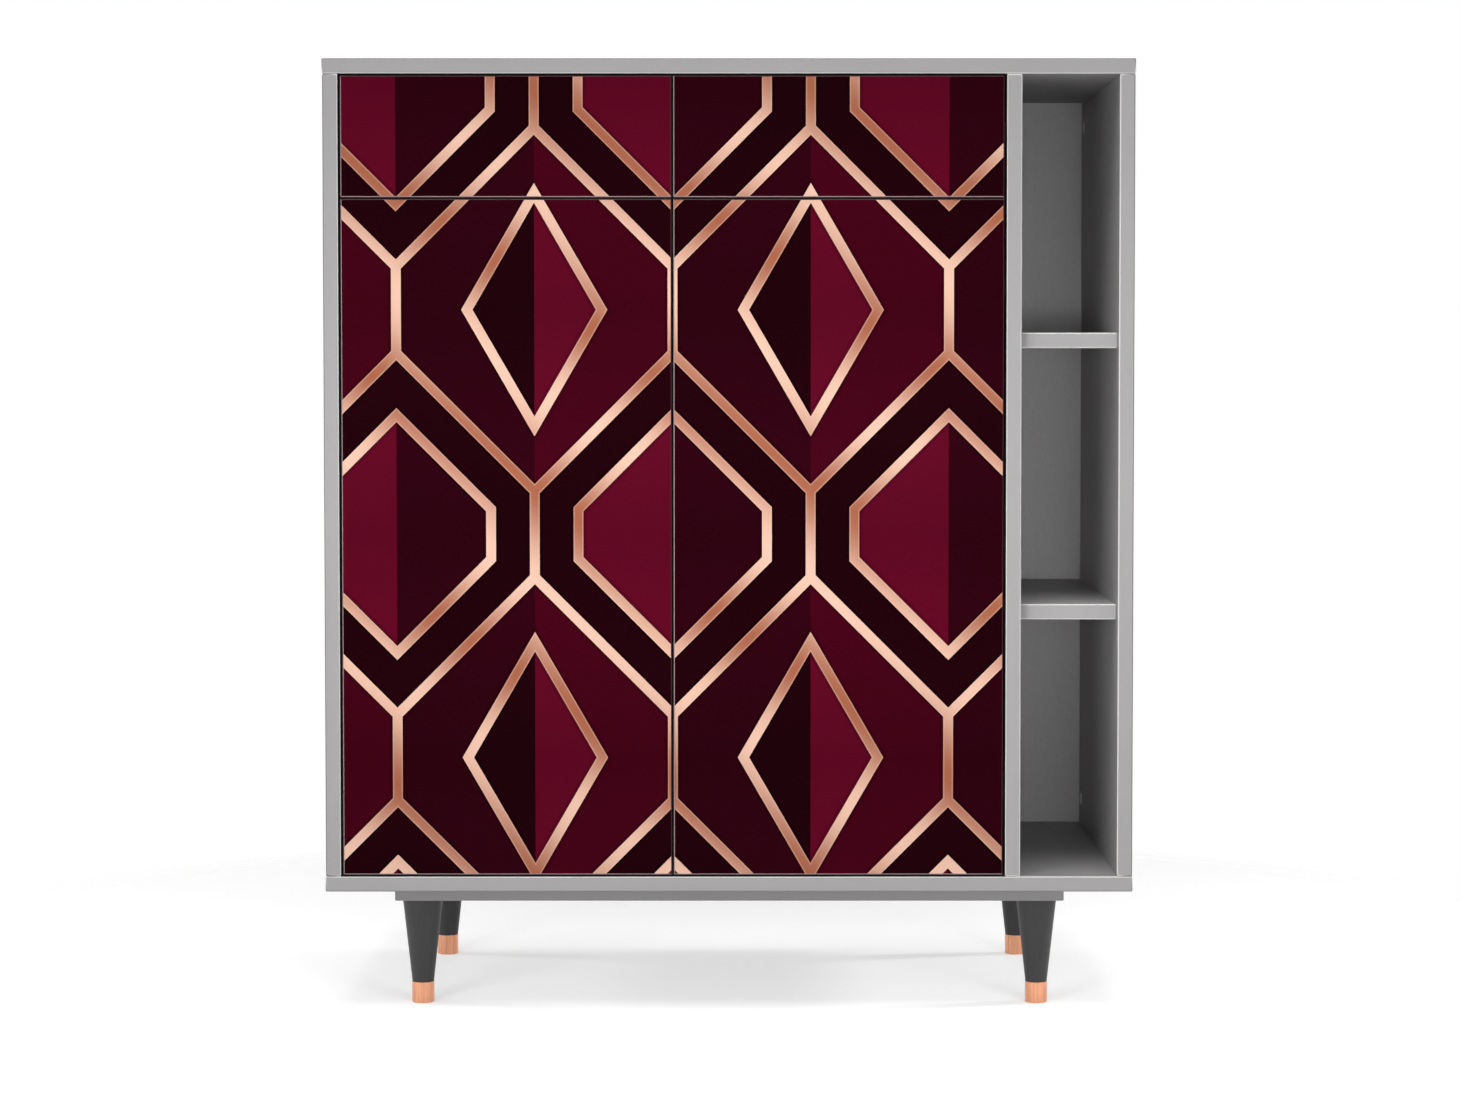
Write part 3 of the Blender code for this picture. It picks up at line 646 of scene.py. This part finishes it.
def round_fronts(f):
    """Where the painted shadow goes: 1 on the faces that bound the fronts' gaps, just behind the
    boards' front edges.
    """
    forms = settings("forms")
    spot = f.split(f.place)
    play = forms.edge / 3
    (_, front, _), (wall, _, _) = box("left_side_panel")
    across = f.within(spot["X"], wall - play, box("niche_divider")[0][X] + play)
    up = f.within(spot["Z"], box("bottom_panel")[1][Z] - play, box("top_panel")[0][Z] + play)
    deep = f.within(spot["Y"], front + forms.edge / 4, front + forms.dark_depth)
    return f.math("MULTIPLY", f.math("MULTIPLY", across, up), deep)


def board_finish(f, base, pale, deep):
    """Satin laminate: faintly cloudy and speckled, with a fine orange-peel bump.

    Where the edge share is above 0 it turns pale, a painted highlight, and where it is below 0
    deep, a painted shade. It is near black on points in the attribute band and in the fronts' gaps,
    a painted shadow.
    """
    look = settings("finishes")
    cloud = f.noise(9.0, 4.0)
    speck = f.noise(1400.0, 2.0)
    tone = f.mix(f.spread(cloud, *TONE_SPAN), scaled(base, 0.975), scaled(base, 1.025))
    tone = f.mix(f.spread(speck, 0.35, 0.75, 0, 0.5), tone, scaled(base, 1.07))
    # Painted highlight on rounded edges whose share is above 0, painted shade where it is below 0
    edge = f.number("edge")
    tone = f.mix(f.spread(edge, 0.1, 0.6), tone, pale)
    tone = f.mix(f.spread(edge, -0.1, -0.6), tone, deep)
    # Painted shadow in the fronts' gaps and on the marked front edges
    dark = f.math("MAXIMUM", f.number("band"), round_fronts(f))
    tone = f.mix(dark, tone, look.shadow_band)
    ends = look.board_roughness - ROUGH_SWING, look.board_roughness + ROUGH_SWING
    rough = f.spread(cloud, *TONE_SPAN, *ends)
    return f.finish(tone, rough, f.bump(f.noise(2200.0, 1.0), 0.10, 0.0002))


def grained(f, key, grain, tones, rough, relief, span=TONE_SPAN, edge=None, **fixed):
    """A finish whose grain shifts its tone, its roughness and its normal.

    key names its colour in the settings. tones are that colour's factors at both ends of the
    grain, rough the roughness there, relief the bump's strength and height, and edge how much
    rounded edges differ, and their factor.
    """
    base = getattr(settings("finishes"), key)
    tone = f.mix(f.spread(grain, *span), scaled(base, tones[0]), scaled(base, tones[1]))
    if edge:
        part = f.math("MULTIPLY", f.number("edge"), edge[0])
        tone = f.mix(part, tone, scaled(base, edge[1]))
    rough = f.spread(grain, *ROUGH_SPAN, *rough)
    return f.finish(tone, rough, f.bump(grain, *relief), **fixed)


def metal(f, key, scratch, roughness, strength, contrast=0.04, metallic=0.75):
    """Plated or brushed metal: a finish whose grain is its scratches."""
    tones = 1 - contrast, 1 + contrast
    rough = roughness - ROUGH_SWING, roughness + ROUGH_SWING
    return grained(f, key, scratch, tones, rough, (strength, 0.0001), Metallic=metallic)


@kept
def grey_laminate(f):
    """Laminate of the carcass boards."""
    look = settings("finishes")
    return board_finish(f, look.board, look.edge_band, look.outer_edge)


@kept
def base_laminate(f):
    """The base board's laminate, a little deeper than the carcass as painted shade under the
    overhang.
    """
    base = settings("finishes").base
    return board_finish(f, base, base, base)


@kept
def back_hardboard(f):
    """The back panel's coated hardboard, a little rougher than the laminate, and paler than the
    carcass board as painted light for the niche's back.
    """
    fibre = f.noise(420.0, 5.0, (1, 1, 0.5))
    return grained(f, "back", fibre, tones=(0.96, 1.04), rough=(0.5, 0.62), relief=(0.12, 0.0003))


@kept
def drawer_foil(f):
    """Pale foil with a faint drawn-out grain."""
    return grained(
        f, "drawer", f.noise(260.0, 5.0, (1, 0.03, 1)), tones=(0.94, 1.05), rough=(0.45, 0.58),
        relief=(0.15, 0.0002), edge=(0.5, 1.15),
    )


@kept
def dark_leaf(f):
    """Dark coated board of the fronts, with pores and paler edges."""
    return grained(
        f, "leaf", f.noise(300.0, 6.0, (1, 1, 0.06)), tones=(0.8, 1.3), rough=(0.42, 0.56),
        relief=(0.2, 0.0002), span=(0.35, 0.7), edge=(0.4, 2.2),
    )


@kept
def leg_lacquer(f):
    """Satin lacquer over turned wood, whose fine grain runs up the leg."""
    mean = settings("finishes").leg_roughness
    return grained(
        f, "leg", f.noise(240.0, 5.0, (1, 1, 0.05)), tones=(0.88, 1.12), relief=(0.12, 0.0002),
        rough=(mean - ROUGH_SWING, mean + 0.05), edge=(0.6, 1.9), Specular_IOR_Level=0.35,
    )


@kept
def copper(f):
    """Copper, brushed from top to bottom. Its streaks' strong tone contrast is partly painted
    reflection.
    """
    brushed = f.noise(420.0, 4.0, (1, 1, 0.03))
    # contrast 0.13 makes the brush grain also stand in for streaky reflections: painted reflection
    return metal(f, "copper", brushed, roughness=0.27, strength=0.30, contrast=0.13, metallic=1.0)


@kept
def nickelled_steel(f):
    """Nickel plate with faint even grain."""
    return metal(f, "nickel", f.noise(2600.0, 1.0), roughness=0.32, strength=0.03)


@kept
def zinc_steel(f):
    """Zinc plate, rolled along the runner."""
    return metal(f, "zinc", f.noise(800.0, 4.0, (1, 0.03, 1)), roughness=0.38, strength=0.15)


@kept
def fitting_plastic(f):
    """Moulded plastic with a fine spark-eroded skin."""
    return grained(
        f, "plastic", f.noise(3000.0, 2.0), span=(0, 1), tones=(0.94, 1.06),
        rough=(0.42, 0.54), relief=(0.15, 0.0002),
    )


@kept
def cover_plastic(f):
    """Pale glossy plastic of the cam covers, with a fine skin."""
    return grained(
        f, "cover", f.noise(1500.0, 2.0), span=(0, 1), tones=(0.97, 1.03),
        rough=(0.25, 0.34), relief=(0.08, 0.0002),
    )


def trellis(f, x, z):
    """A trellis of six-sided cells with bands along their rims, as numbers over x and z.

    Cells of width W and height H stand side by side, and every second row is moved on by half of
    each. With u and v as the distances from a cell's own middle, the cell is where u < W/2 and
    u + v < (W + H)/4. One kind of cell has a ring at an even distance from its rim, the other a
    lozenge. The numbers are: 1 in ringed cells, 1 in the right half of each cell, v, how far
    inside its cell's figure a point lies, and how far off the nearest band.
    """
    look = settings("print")
    half_w, half_h = look.cell_width / 2, look.cell_height / 2
    tip = (half_w + half_h) / 2
    signed = f.math("WRAP", x, half_w, -half_w)
    across = f.math("ABSOLUTE", signed)
    along = f.math("ABSOLUTE", f.math("WRAP", z, half_h, -half_h))
    ringed = f.math("LESS_THAN", f.math("ADD", across, along), tip)
    u = f.choose(ringed, f.math("SUBTRACT", half_w, across), across)
    v = f.choose(ringed, f.math("SUBTRACT", half_h, along), along)
    slant = f.math("DIVIDE", f.math("SUBTRACT", tip, f.math("ADD", u, v)), math.sqrt(2))
    rim = f.math("MINIMUM", f.math("SUBTRACT", half_w, u), slant)
    ring = f.math("SUBTRACT", rim, look.inset + look.band / 2)
    slope = look.lozenge_height / look.lozenge_width
    reach = f.math("ADD", f.math("MULTIPLY", u, slope), v)
    inside = f.math("SUBTRACT", look.lozenge_height, reach)
    lozenge = f.math("DIVIDE", inside, math.hypot(slope, 1))
    figure = f.choose(ringed, lozenge, ring)
    nearest = f.math("MINIMUM", rim, f.math("ABSOLUTE", figure))
    gap = f.math("SUBTRACT", nearest, look.band / 2)
    right = f.math("COMPARE", f.math("GREATER_THAN", signed, 0), ringed, 0.5)
    return ringed, right, v, figure, gap


@kept
def printed_glass(f):
    """Glass with a print on its back: a trellis banded in rose gold on fields of burgundy.

    A field's colour goes by its kind of cell, its half, and whether it lies in the cell's figure.
    The bands' sheen is a sine over x and z, and a paler line runs along both of their sides.
    """
    look = settings("print")
    low, high = box("left_door_glass")[0], box("right_drawer_glass")[1]
    spot = f.split(f.place)
    x = f.math("SUBTRACT", spot["X"], (low[X] + high[X]) / 2)
    z = f.math("SUBTRACT", spot["Z"], look.middle_height)
    ringed, right, v, figure, gap = trellis(f, x, z)
    outer = f.mix(ringed, f.mix(right, look.dark, look.middle), look.darkest)
    lozenge = f.mix(right, look.darkest, look.bright)
    inner = f.mix(ringed, lozenge, f.mix(right, look.bright, look.dark))
    field = f.mix(f.math("GREATER_THAN", figure, 0), outer, inner)
    tip = (look.cell_width + look.cell_height) / 4
    fall = f.spread(v, 0, tip, 1 - look.field_fall, 1 + look.field_fall)
    shade = f.spread(gap, 0, look.shade, look.shade_depth, 1.0)
    shaded = {0: field, "Scale": f.math("MULTIPLY", fall, shade)}
    field = f.add("ShaderNodeVectorMath", shaded, operation="SCALE").outputs[0]
    lean = f.math("ADD", f.math("MULTIPLY", x, look.sheen_lean), z)
    turn = f.math("MULTIPLY", lean, 2 * math.pi / look.sheen_length)
    sheen = f.spread(f.math("SINE", turn), -1, 1)
    band = f.mix(sheen, look.band_deep, look.band_light)
    foil = f.spread(gap, -look.foil_edge, -look.foil_edge / 2, 0, look.foil_share)
    band = f.mix(foil, band, look.band_light)
    base = f.mix(f.math("LESS_THAN", gap, 0), field, band)
    # Painted highlight on the glass edge at the left and below, painted shade on the other edges
    edge = f.number("edge")
    base = f.mix(f.math("GREATER_THAN", edge, 0.02), base, look.rim)
    base = f.mix(f.math("LESS_THAN", edge, -0.02), base, look.deep_rim)
    rough = f.spread(f.noise(500.0, 2.0), *ROUGH_SPAN, 0.30, 0.38)
    fixed = {"Coat_Weight": 0.4, "Coat_Roughness": 0.03, "Specular_IOR_Level": 0.0}
    return f.finish(base, rough, **fixed)


# Pieces

def add_board(
    node, along, finish=grey_laminate, radius=None, body="root",
    groove=None, inward=None, cutters=(),
):
    """A rounded board in the place of a node, as a bar along one axis.

    Without a radius it is rounded as the carcass is. groove is the axis that it is cut into, which
    becomes the outline's second, then the side, start, stop and depth. inward is the axis and the
    way that the opening lies: past the board's middle that way its edge shares stay above 0, for a
    painted highlight, and on the other side they go below, for a painted shade.
    """
    forms = settings("forms")
    low, high = box(node)
    others = [axis for axis in (X, Y, Z) if axis != along]
    notch = None
    if groove:
        cut_into, *notch = groove
        others.sort(key=lambda axis: axis == cut_into)
    axes = (*others, along)
    shape = box_bar(low, high, axes, radius or forms.edge, forms.round_steps, notch)
    # The sign of the edge share picks painted highlight (above 0) or painted shade (below 0)
    if inward:
        points, faces, worn = shape
        axis, way = inward
        worn = worn * np.sign((points[:, axis] - (low[axis] + high[axis]) / 2) * way)
        shape = points, faces, worn
    return add_piece(f"{node}_board", shape, body, finish, [node], cutters)


def band_front(made):
    """Marks a board's front edge for the painted shadow: 1 in the attribute band where a point lies
    on it.
    """
    places = np.empty(len(made.data.vertices) * 3, np.float32)
    made.data.vertices.foreach_get("co", places)
    depth = places[Y::3]
    mark(made.data, "band", depth < depth.min() + settings("forms").edge / 2)


def dress_carcass():
    """The carcass boards, the back panel in its grooves, decks, shelves and base board."""
    forms = settings("forms")
    low, high = box("back_panel")
    start, stop = low[Y] - forms.groove_play, high[Y] + forms.groove_play
    for side, way in zip(SIDES, INWARD):
        groove = X, "high" if way > 0 else "low", start, stop, forms.groove_depth
        add_board(f"{side}_side_panel", Z, groove=groove, inward=(X, way))
    left_wall = box("left_side_panel")[1][X] - forms.groove_depth
    right_wall = box("right_side_panel")[0][X] + forms.groove_depth
    for node, way in (("bottom_panel", 1), ("top_panel", -1)):
        face = box(node)[1 if way > 0 else 0][Z]
        lowest = left_wall, start, face - forms.groove_depth
        highest = right_wall, stop, face + forms.groove_depth
        cutter = box_bar(lowest, highest, (Y, Z, X), radius=forms.thin_edge / 4, steps=2)
        add_board(node, X, inward=(Z, way), cutters=[cutter])
    add_board("niche_divider", Z)
    for level in LEVELS:
        add_board(f"niche_{level}_shelf", X)
    for side in SIDES:
        add_board(f"{side}_cupboard_shelf", X)
    add_board("base_board", X, base_laminate)
    # The partition's and decks' front edges get the painted shadow
    band_front(add_board("centre_partition", Z))
    for side in SIDES:
        band_front(add_board(f"{side}_drawer_deck", X))
    add_board("back_panel", Z, back_hardboard, radius=forms.thin_edge)


def dress_legs():
    """Tapered legs and their copper ferrules, turned."""
    forms = settings("forms")
    fine = forms.thin_edge / 2
    for corner in CORNERS:
        leg, ferrule = f"{corner}_leg", f"{corner}_ferrule"
        low, high = box(leg)
        foot_low, foot_high = box(ferrule)
        place = (*((low + high) / 2)[:2], 0)
        top, throat = (high[X] - low[X]) / 2, (foot_high[X] - foot_low[X]) / 2
        neck, bore = throat - forms.ferrule_step, throat - forms.ferrule_wall
        foot, floor = bore - forms.ferrule_play, low[Z] - forms.groove_play
        profile = [(0, low[Z], 0), (foot, low[Z], 0), (foot, foot_high[Z], 0)]
        profile += [(neck, foot_high[Z], fine), (top, high[Z], forms.taper_round), (0, high[Z], 0)]
        shape = spun(profile, place, UP)
        add_piece(f"{leg}_turned", shape, "root", leg_lacquer, [leg])
        profile = [(0, 0, 0), (throat, 0, forms.ferrule_round), (throat, foot_high[Z], fine)]
        profile += [(bore, foot_high[Z], fine), (bore, floor, 0), (0, floor, 0)]
        shape = spun(profile, place, UP)
        add_piece(f"{ferrule}_turned", shape, "root", copper, [ferrule])


def cup_bore(cup, back):
    """The hole that a hinge cup stands in, let into a leaf's back face: a plain cylinder."""
    forms = settings("forms")
    low, high = box(cup)
    middle = (low + high) / 2
    depth = back - low[Y] + forms.groove_play
    radius = (high[X] - low[X]) / 2 - forms.cup_rim + forms.groove_play
    outline = np.array([(0, -depth), (radius, -depth), (radius, depth), (0, depth)])
    profile = outline, None, np.zeros(len(outline))
    return turned(profile, (middle[X], back, middle[Z]), (0, 1, 0), forms.turn_steps)


def glass_facing(glass):
    """A glass facing whose front has a polished edge.

    Its edge shares are 0 on the front face. Elsewhere they are 1 on points that lie nearest to the
    left or lower side, where the finish paints a highlight, and -1 on the others, where it paints
    shade.
    """
    forms = settings("forms")
    steps, radius = forms.round_steps, forms.glass_edge
    low, high = box(glass)
    outline = box_outline(low[[Z, X]], high[[Z, X]], radius * CORNER_SHARE, steps)
    rounding = radius, forms.thin_edge
    points, faces, _ = bar(outline, (low[Y], high[Y]), rounding, (Z, X, Y), steps)
    # Which sides are lit is painted into the edge shares
    face = np.isclose(points[:, Y], low[Y])
    lit = np.minimum(points[:, X] - low[X], points[:, Z] - low[Z])
    dim = np.minimum(high[X] - points[:, X], high[Z] - points[:, Z])
    return points, faces, np.where(face, 0.0, np.where(lit < dim, 1.0, -1.0))


def dress_fronts():
    """Each front's leaf, with the hinges' cup holes in the doors, and its glass facing."""
    forms = settings("forms")
    for body in DOORS + DRAWERS:
        leaf, glass = f"{body}_leaf", f"{body}_glass"
        low, high = box(leaf)
        cups = [f"{body}_{level}_hinge_cup" for level in LEVELS if body in DOORS]
        holes = [cup_bore(cup, high[Y]) for cup in cups]
        shape = box_bar(low, high, (X, Y, Z), forms.thin_edge, forms.round_steps)
        add_piece(f"{leaf}_board", shape, body, dark_leaf, [leaf], holes)
        shape = glass_facing(glass)
        add_piece(f"{glass}_facing", shape, body, printed_glass, [glass])


def hinge_ears(cup):
    """The ears above and below a hinge cup, rounded plates with a screw in each."""
    forms = settings("forms")
    steps, edge, half = forms.round_steps, forms.thin_edge / 2, forms.ear_width / 2
    low, high = box(cup)
    middle = (low + high) / 2
    radius = (high[X] - low[X]) / 2
    back, front = high[Y] - forms.screw_sink, high[Y] - forms.groove_play
    shapes = []
    for way in (-1, 1):
        near = middle[Z] + way * (radius - forms.edge)
        far = middle[Z] + way * (radius + forms.ear_reach)
        flat = zip((middle[X] - half, middle[X] + half), sorted((near, far)))
        outline = box_outline(*flat, forms.ear_round, 2 * steps)
        shapes.append(bar(outline, (back, front), (edge, edge), (X, Z, Y), steps))
        spot = middle[X], front, middle[Z] + way * (radius + forms.ear_reach / 2)
        head = screw_head(spot, (0, 1, 0), forms.screw, forms.screw_rise, forms.screw_sink)
        shapes.append(head)
    return together(shapes)


def dress_hinges():
    """Hinge cups and arms keep their shapes. Ears hold each cup, and screws hold each plate."""
    forms = settings("forms")
    for body, inward in zip(DOORS, INWARD):
        for level in LEVELS:
            hinge = f"{body}_{level}_hinge"
            refinish(f"{hinge}_cup", nickelled_steel)
            refinish(f"{hinge}_arm", nickelled_steel)
            ears = hinge_ears(f"{hinge}_cup")
            add_piece(f"{hinge}_ears", ears, body, nickelled_steel)
            low, high = box(f"{hinge}_arm")
            top = (low if inward > 0 else high)[X] + inward * forms.plate
            height = (low[Z] + high[Z]) / 2
            row = high[Y] - forms.plate_screw_place
            spots = [(top, row, height + way * forms.plate_screws, forms.screw) for way in (-1, 1)]
            spots.append((top, high[Y] - forms.adjuster_place, height, forms.adjuster))
            screws = together(
                screw_head(spot, (inward, 0, 0), wide, forms.screw_rise, forms.screw_sink)
                for *spot, wide in spots
            )
            add_piece(f"{hinge}_plate_screws", screws, "root", nickelled_steel)


def dress_drawers():
    """Drawer boxes of foiled boards, with the bottoms in grooves, and runners with their screws."""
    forms = settings("forms")
    head = forms.runner_screw, forms.runner_screw_rise, forms.runner_web / 2
    for body in DRAWERS:
        low, high = box(f"{body}_bottom")
        groove = low[Z] - forms.groove_play, high[Z] + forms.groove_play, forms.drawer_groove
        boards = {
            f"{body}_left_side": (Y, (X, "high", *groove)),
            f"{body}_right_side": (Y, (X, "low", *groove)),
            f"{body}_back": (X, (Y, "low", *groove)),
            f"{body}_bottom": (X, None),
        }
        for node, (along, notch) in boards.items():
            add_board(node, along, drawer_foil, forms.thin_edge, body, notch)
        for side, inward in zip(SIDES, INWARD):
            channel = f"{body}_{side}_runner_channel"
            refinish(channel, zinc_steel)
            refinish(f"{body}_{side}_runner_bar", zinc_steel)
            low, high = box(channel)
            web = (low if inward > 0 else high)[X] + inward * forms.runner_web
            height = (low[Z] + high[Z]) / 2
            screws = together(
                screw_head((web, y, height), (inward, 0, 0), *head)
                for y in (low[Y] + forms.runner_screw_place, high[Y] - forms.runner_screw_place)
            )
            add_piece(f"{channel}_screws", screws, "root", zinc_steel)


def dress_fittings():
    """Push latches keep their shapes. Cam covers in the niche wall, and pins under the shelves."""
    forms = settings("forms")
    for side in SIDES:
        refinish(f"{side}_latch_housing", fitting_plastic)
        refinish(f"{side}_latch_plunger", fitting_plastic)
    wall = box("right_side_panel")[0][X]
    for level in LEVELS:
        cam = f"right_side_{level}_cam"
        low, high = box(cam)
        middle = (low + high) / 2
        rise, root, dish = wall - low[X], wall - high[X], -forms.cover_dish
        radius = (high[Z] - low[Z]) / 2
        inner, fine = radius - forms.cover_wall, forms.cover_round / 2
        profile = [(0, root, 0), (radius, root, forms.cover_round), (radius, rise, fine)]
        profile += [(inner, rise, fine), (inner, dish, forms.cover_round), (0, dish, 0)]
        cover = spun(profile, (wall, *middle[1:]), (-1, 0, 0))
        add_piece(f"{cam}_cover", cover, "root", cover_plastic, [cam])
    profile = [(0, -forms.pin_in, 0), (forms.pin, -forms.pin_in, forms.thin_edge)]
    profile += [(forms.pin, forms.pin_out, forms.thin_edge), (0, forms.pin_out, 0)]
    for side in SIDES:
        low, high = box(f"{side}_cupboard_shelf")
        pins = together(
            spun(profile, (x, y, low[Z] - forms.pin), (way, 0, 0), PIN_STEPS)
            for x, way in zip((low[X], high[X]), INWARD)
            for y in (low[Y] + forms.pin_front, high[Y] - forms.pin_rear)
        )
        add_piece(f"{side}_shelf_pins", pins, "root", nickelled_steel)


# Studio

def floor_finish(studio):
    """A matt pale floor that looks white and keeps the shadow, and fades out at its rim."""
    f = Finish("pale_floor")
    _, seen = f.seen_rays()
    f.finish(studio.floor, FLOOR_ROUGHNESS, Specular_IOR_Level=0.0, Emission_Color=(1, 1, 1, 1))
    f.feed(f.shader.inputs["Emission Strength"], f.math("MULTIPLY", seen, studio.floor_glow))
    distance = f.add("ShaderNodeVectorMath", {0: f.place}, operation="LENGTH").outputs["Value"]
    rim = studio.floor_radius
    f.feed(f.shader.inputs["Alpha"], f.spread(distance, rim - studio.floor_fade, rim, 1, 0))
    return f.material


def add_floor(studio):
    """A round pale floor as rings of points: radius times cosine and sine of the angle."""
    angle = np.linspace(0, 2 * np.pi, FLOOR_SPOKES, endpoint=False)
    radius = studio.floor_radius * np.linspace(1 / FLOOR_RINGS, 1, FLOOR_RINGS)
    points = np.zeros((FLOOR_RINGS, FLOOR_SPOKES, 3))
    points[..., X] = radius[:, None] * np.cos(angle)
    points[..., Y] = radius[:, None] * np.sin(angle)
    faces = [face[::-1] for face in grid_faces(FLOOR_RINGS, FLOOR_SPOKES)]
    faces.append(list(range(FLOOR_SPOKES)))
    mesh = bpy.data.meshes.new("floor")
    mesh.from_pydata(points.reshape(-1, 3).tolist(), [], faces)
    mesh.materials.append(floor_finish(studio))
    floor = put_in_scene("floor", mesh)
    return floor


def light_world(studio):
    """Soft light all round, a little stronger from the left, and a white background.

    Reflections see that white too, darker behind the camera and to both sides.
    """
    world = bpy.data.worlds.new("studio")
    bpy.context.scene.world = world
    w = Nodes(world)
    path, seen = w.seen_rays()
    way = w.split(w.add("ShaderNodeTexCoord").outputs["Generated"])
    soft = {"interpolation_type": "SMOOTHSTEP"}
    front = w.spread(way["Y"], *FRONT_FADE, studio.behind_camera, 1, **soft)
    sides = w.spread(w.math("ABSOLUTE", way["X"]), *SIDE_FADE, 1, studio.at_sides, **soft)
    white = w.choose(path["Is Glossy Ray"], 1.0, w.math("MULTIPLY", front, sides))
    left, right = studio.ambient * (1 + studio.lean), studio.ambient * (1 - studio.lean)
    level = w.choose(seen, w.spread(way["X"], -1, 1, left, right), white)
    lit = w.tree.nodes["Background"]
    w.feed(lit.inputs["Color"], (1, 1, 1))
    w.feed(lit.inputs["Strength"], level)


def add_lamp(name, place, aim, width, height, watts):
    """A soft rectangular lamp of a width and height, which looks at a point."""
    data = bpy.data.lights.new(name, "AREA")
    data.shape = "RECTANGLE"
    data.size, data.size_y, data.energy = width, height, watts
    lamp = put_in_scene(name, data)
    lamp.location = place
    lamp.rotation_euler = (Vector(place) - Vector(aim)).to_track_quat("Z", "Y").to_euler()
    return lamp


def add_camera(studio):
    """The camera, at the photograph's angle."""
    data = bpy.data.cameras.new("photo_camera")
    data.sensor_width, data.lens = SENSOR_WIDTH, studio.lens
    data.shift_x, data.shift_y = studio.shift
    camera = put_in_scene("photo_camera", data)
    camera.location = studio.camera_place
    camera.rotation_euler = (math.pi / 2 - studio.camera_pitch, 0, 0)
    bpy.context.scene.camera = camera


def set_stage():
    """Floor, lights, view settings and camera. The low lamps light only the floor.

    No lamp but the one overhead shows in reflections.
    """
    studio = settings("studio")
    floor = add_floor(studio)
    light_world(studio)
    floor_only = bpy.data.collections.new("floor_only")
    floor_only.objects.link(floor)
    for name, place, aim, (width, height), setting, divided_by, beam in LAMPS:
        watts = getattr(studio, setting) / divided_by
        lamp = add_lamp(name, place, aim, width, height, watts)
        lamp.visible_glossy = name == "top"
        if beam:
            lamp.data.spread = getattr(studio, beam)
        if setting == "low_power":
            lamp.light_linking.receiver_collection = floor_only
    add_camera(studio)
    bpy.context.scene.view_settings.view_transform = "Standard"


# Operators

class Step:
    """What all operators here share: each can be undone."""

    bl_options = {"REGISTER", "UNDO"}


class SIDEBOARD_OT_carcass(Step, bpy.types.Operator):
    """Boards of the carcass and the back panel in its grooves"""

    bl_idname = "sideboard.carcass"
    bl_label = "Carcass boards"

    def execute(self, context):
        dress_carcass()
        return {"FINISHED"}


class SIDEBOARD_OT_legs(Step, bpy.types.Operator):
    """Four tapered legs and their copper ferrules"""

    bl_idname = "sideboard.legs"
    bl_label = "Legs and ferrules"

    def execute(self, context):
        dress_legs()
        return {"FINISHED"}


class SIDEBOARD_OT_fronts(Step, bpy.types.Operator):
    """Leaves and printed glass of the doors and drawers"""

    bl_idname = "sideboard.fronts"
    bl_label = "Printed fronts"

    def execute(self, context):
        dress_fronts()
        return {"FINISHED"}


class SIDEBOARD_OT_hinges(Step, bpy.types.Operator):
    """Hinge cups with their ears, hinge arms and the screws of their plates"""

    bl_idname = "sideboard.hinges"
    bl_label = "Hinges"

    def execute(self, context):
        dress_hinges()
        return {"FINISHED"}


class SIDEBOARD_OT_drawers(Step, bpy.types.Operator):
    """Boards of the drawer boxes, runners and their screws"""

    bl_idname = "sideboard.drawers"
    bl_label = "Drawer boxes and runners"

    def execute(self, context):
        dress_drawers()
        return {"FINISHED"}


class SIDEBOARD_OT_fittings(Step, bpy.types.Operator):
    """Push latches, cam covers and shelf pins"""

    bl_idname = "sideboard.fittings"
    bl_label = "Small fittings"

    def execute(self, context):
        dress_fittings()
        return {"FINISHED"}


class SIDEBOARD_OT_stage(Step, bpy.types.Operator):
    """Pale floor, soft lamps, surroundings and the camera"""

    bl_idname = "sideboard.stage"
    bl_label = "Floor, lights and camera"

    def execute(self, context):
        set_stage()
        return {"FINISHED"}


OPERATORS = (
    SIDEBOARD_OT_carcass,
    SIDEBOARD_OT_legs,
    SIDEBOARD_OT_fronts,
    SIDEBOARD_OT_hinges,
    SIDEBOARD_OT_drawers,
    SIDEBOARD_OT_fittings,
    SIDEBOARD_OT_stage,
)

GROUPS = {
    "forms": SideboardForms,
    "finishes": SideboardFinishes,
    "print": SideboardPrint,
    "studio": SideboardStudio,
}


class SIDEBOARD_PT_panel(bpy.types.Panel):
    """The sideboard's steps and settings."""

    bl_idname = "SIDEBOARD_PT_panel"
    bl_label = "Sideboard"
    bl_space_type = "VIEW_3D"
    bl_region_type = "UI"
    bl_category = "Sideboard"

    def draw(self, context):
        for made in OPERATORS:
            self.layout.operator(made.bl_idname)
        for name, group in GROUPS.items():
            shown = self.layout.box()
            shown.label(text=name.capitalize())
            for key in group.__annotations__:
                shown.prop(settings(name), key)


def register():
    for made in (*GROUPS.values(), *OPERATORS, SIDEBOARD_PT_panel):
        bpy.utils.register_class(made)
    for name, group in GROUPS.items():
        setattr(bpy.types.Scene, f"sideboard_{name}", PointerProperty(type=group))


def unregister():
    for name in GROUPS:
        delattr(bpy.types.Scene, f"sideboard_{name}")
    for made in (SIDEBOARD_PT_panel, *reversed(OPERATORS), *GROUPS.values()):
        bpy.utils.unregister_class(made)


def main():
    """Registers the add-on, and dresses the sideboard step by step."""
    register()
    for made in OPERATORS:
        group, name = made.bl_idname.split(".")
        getattr(getattr(bpy.ops, group), name)()


if __name__ == "__main__":
    main()
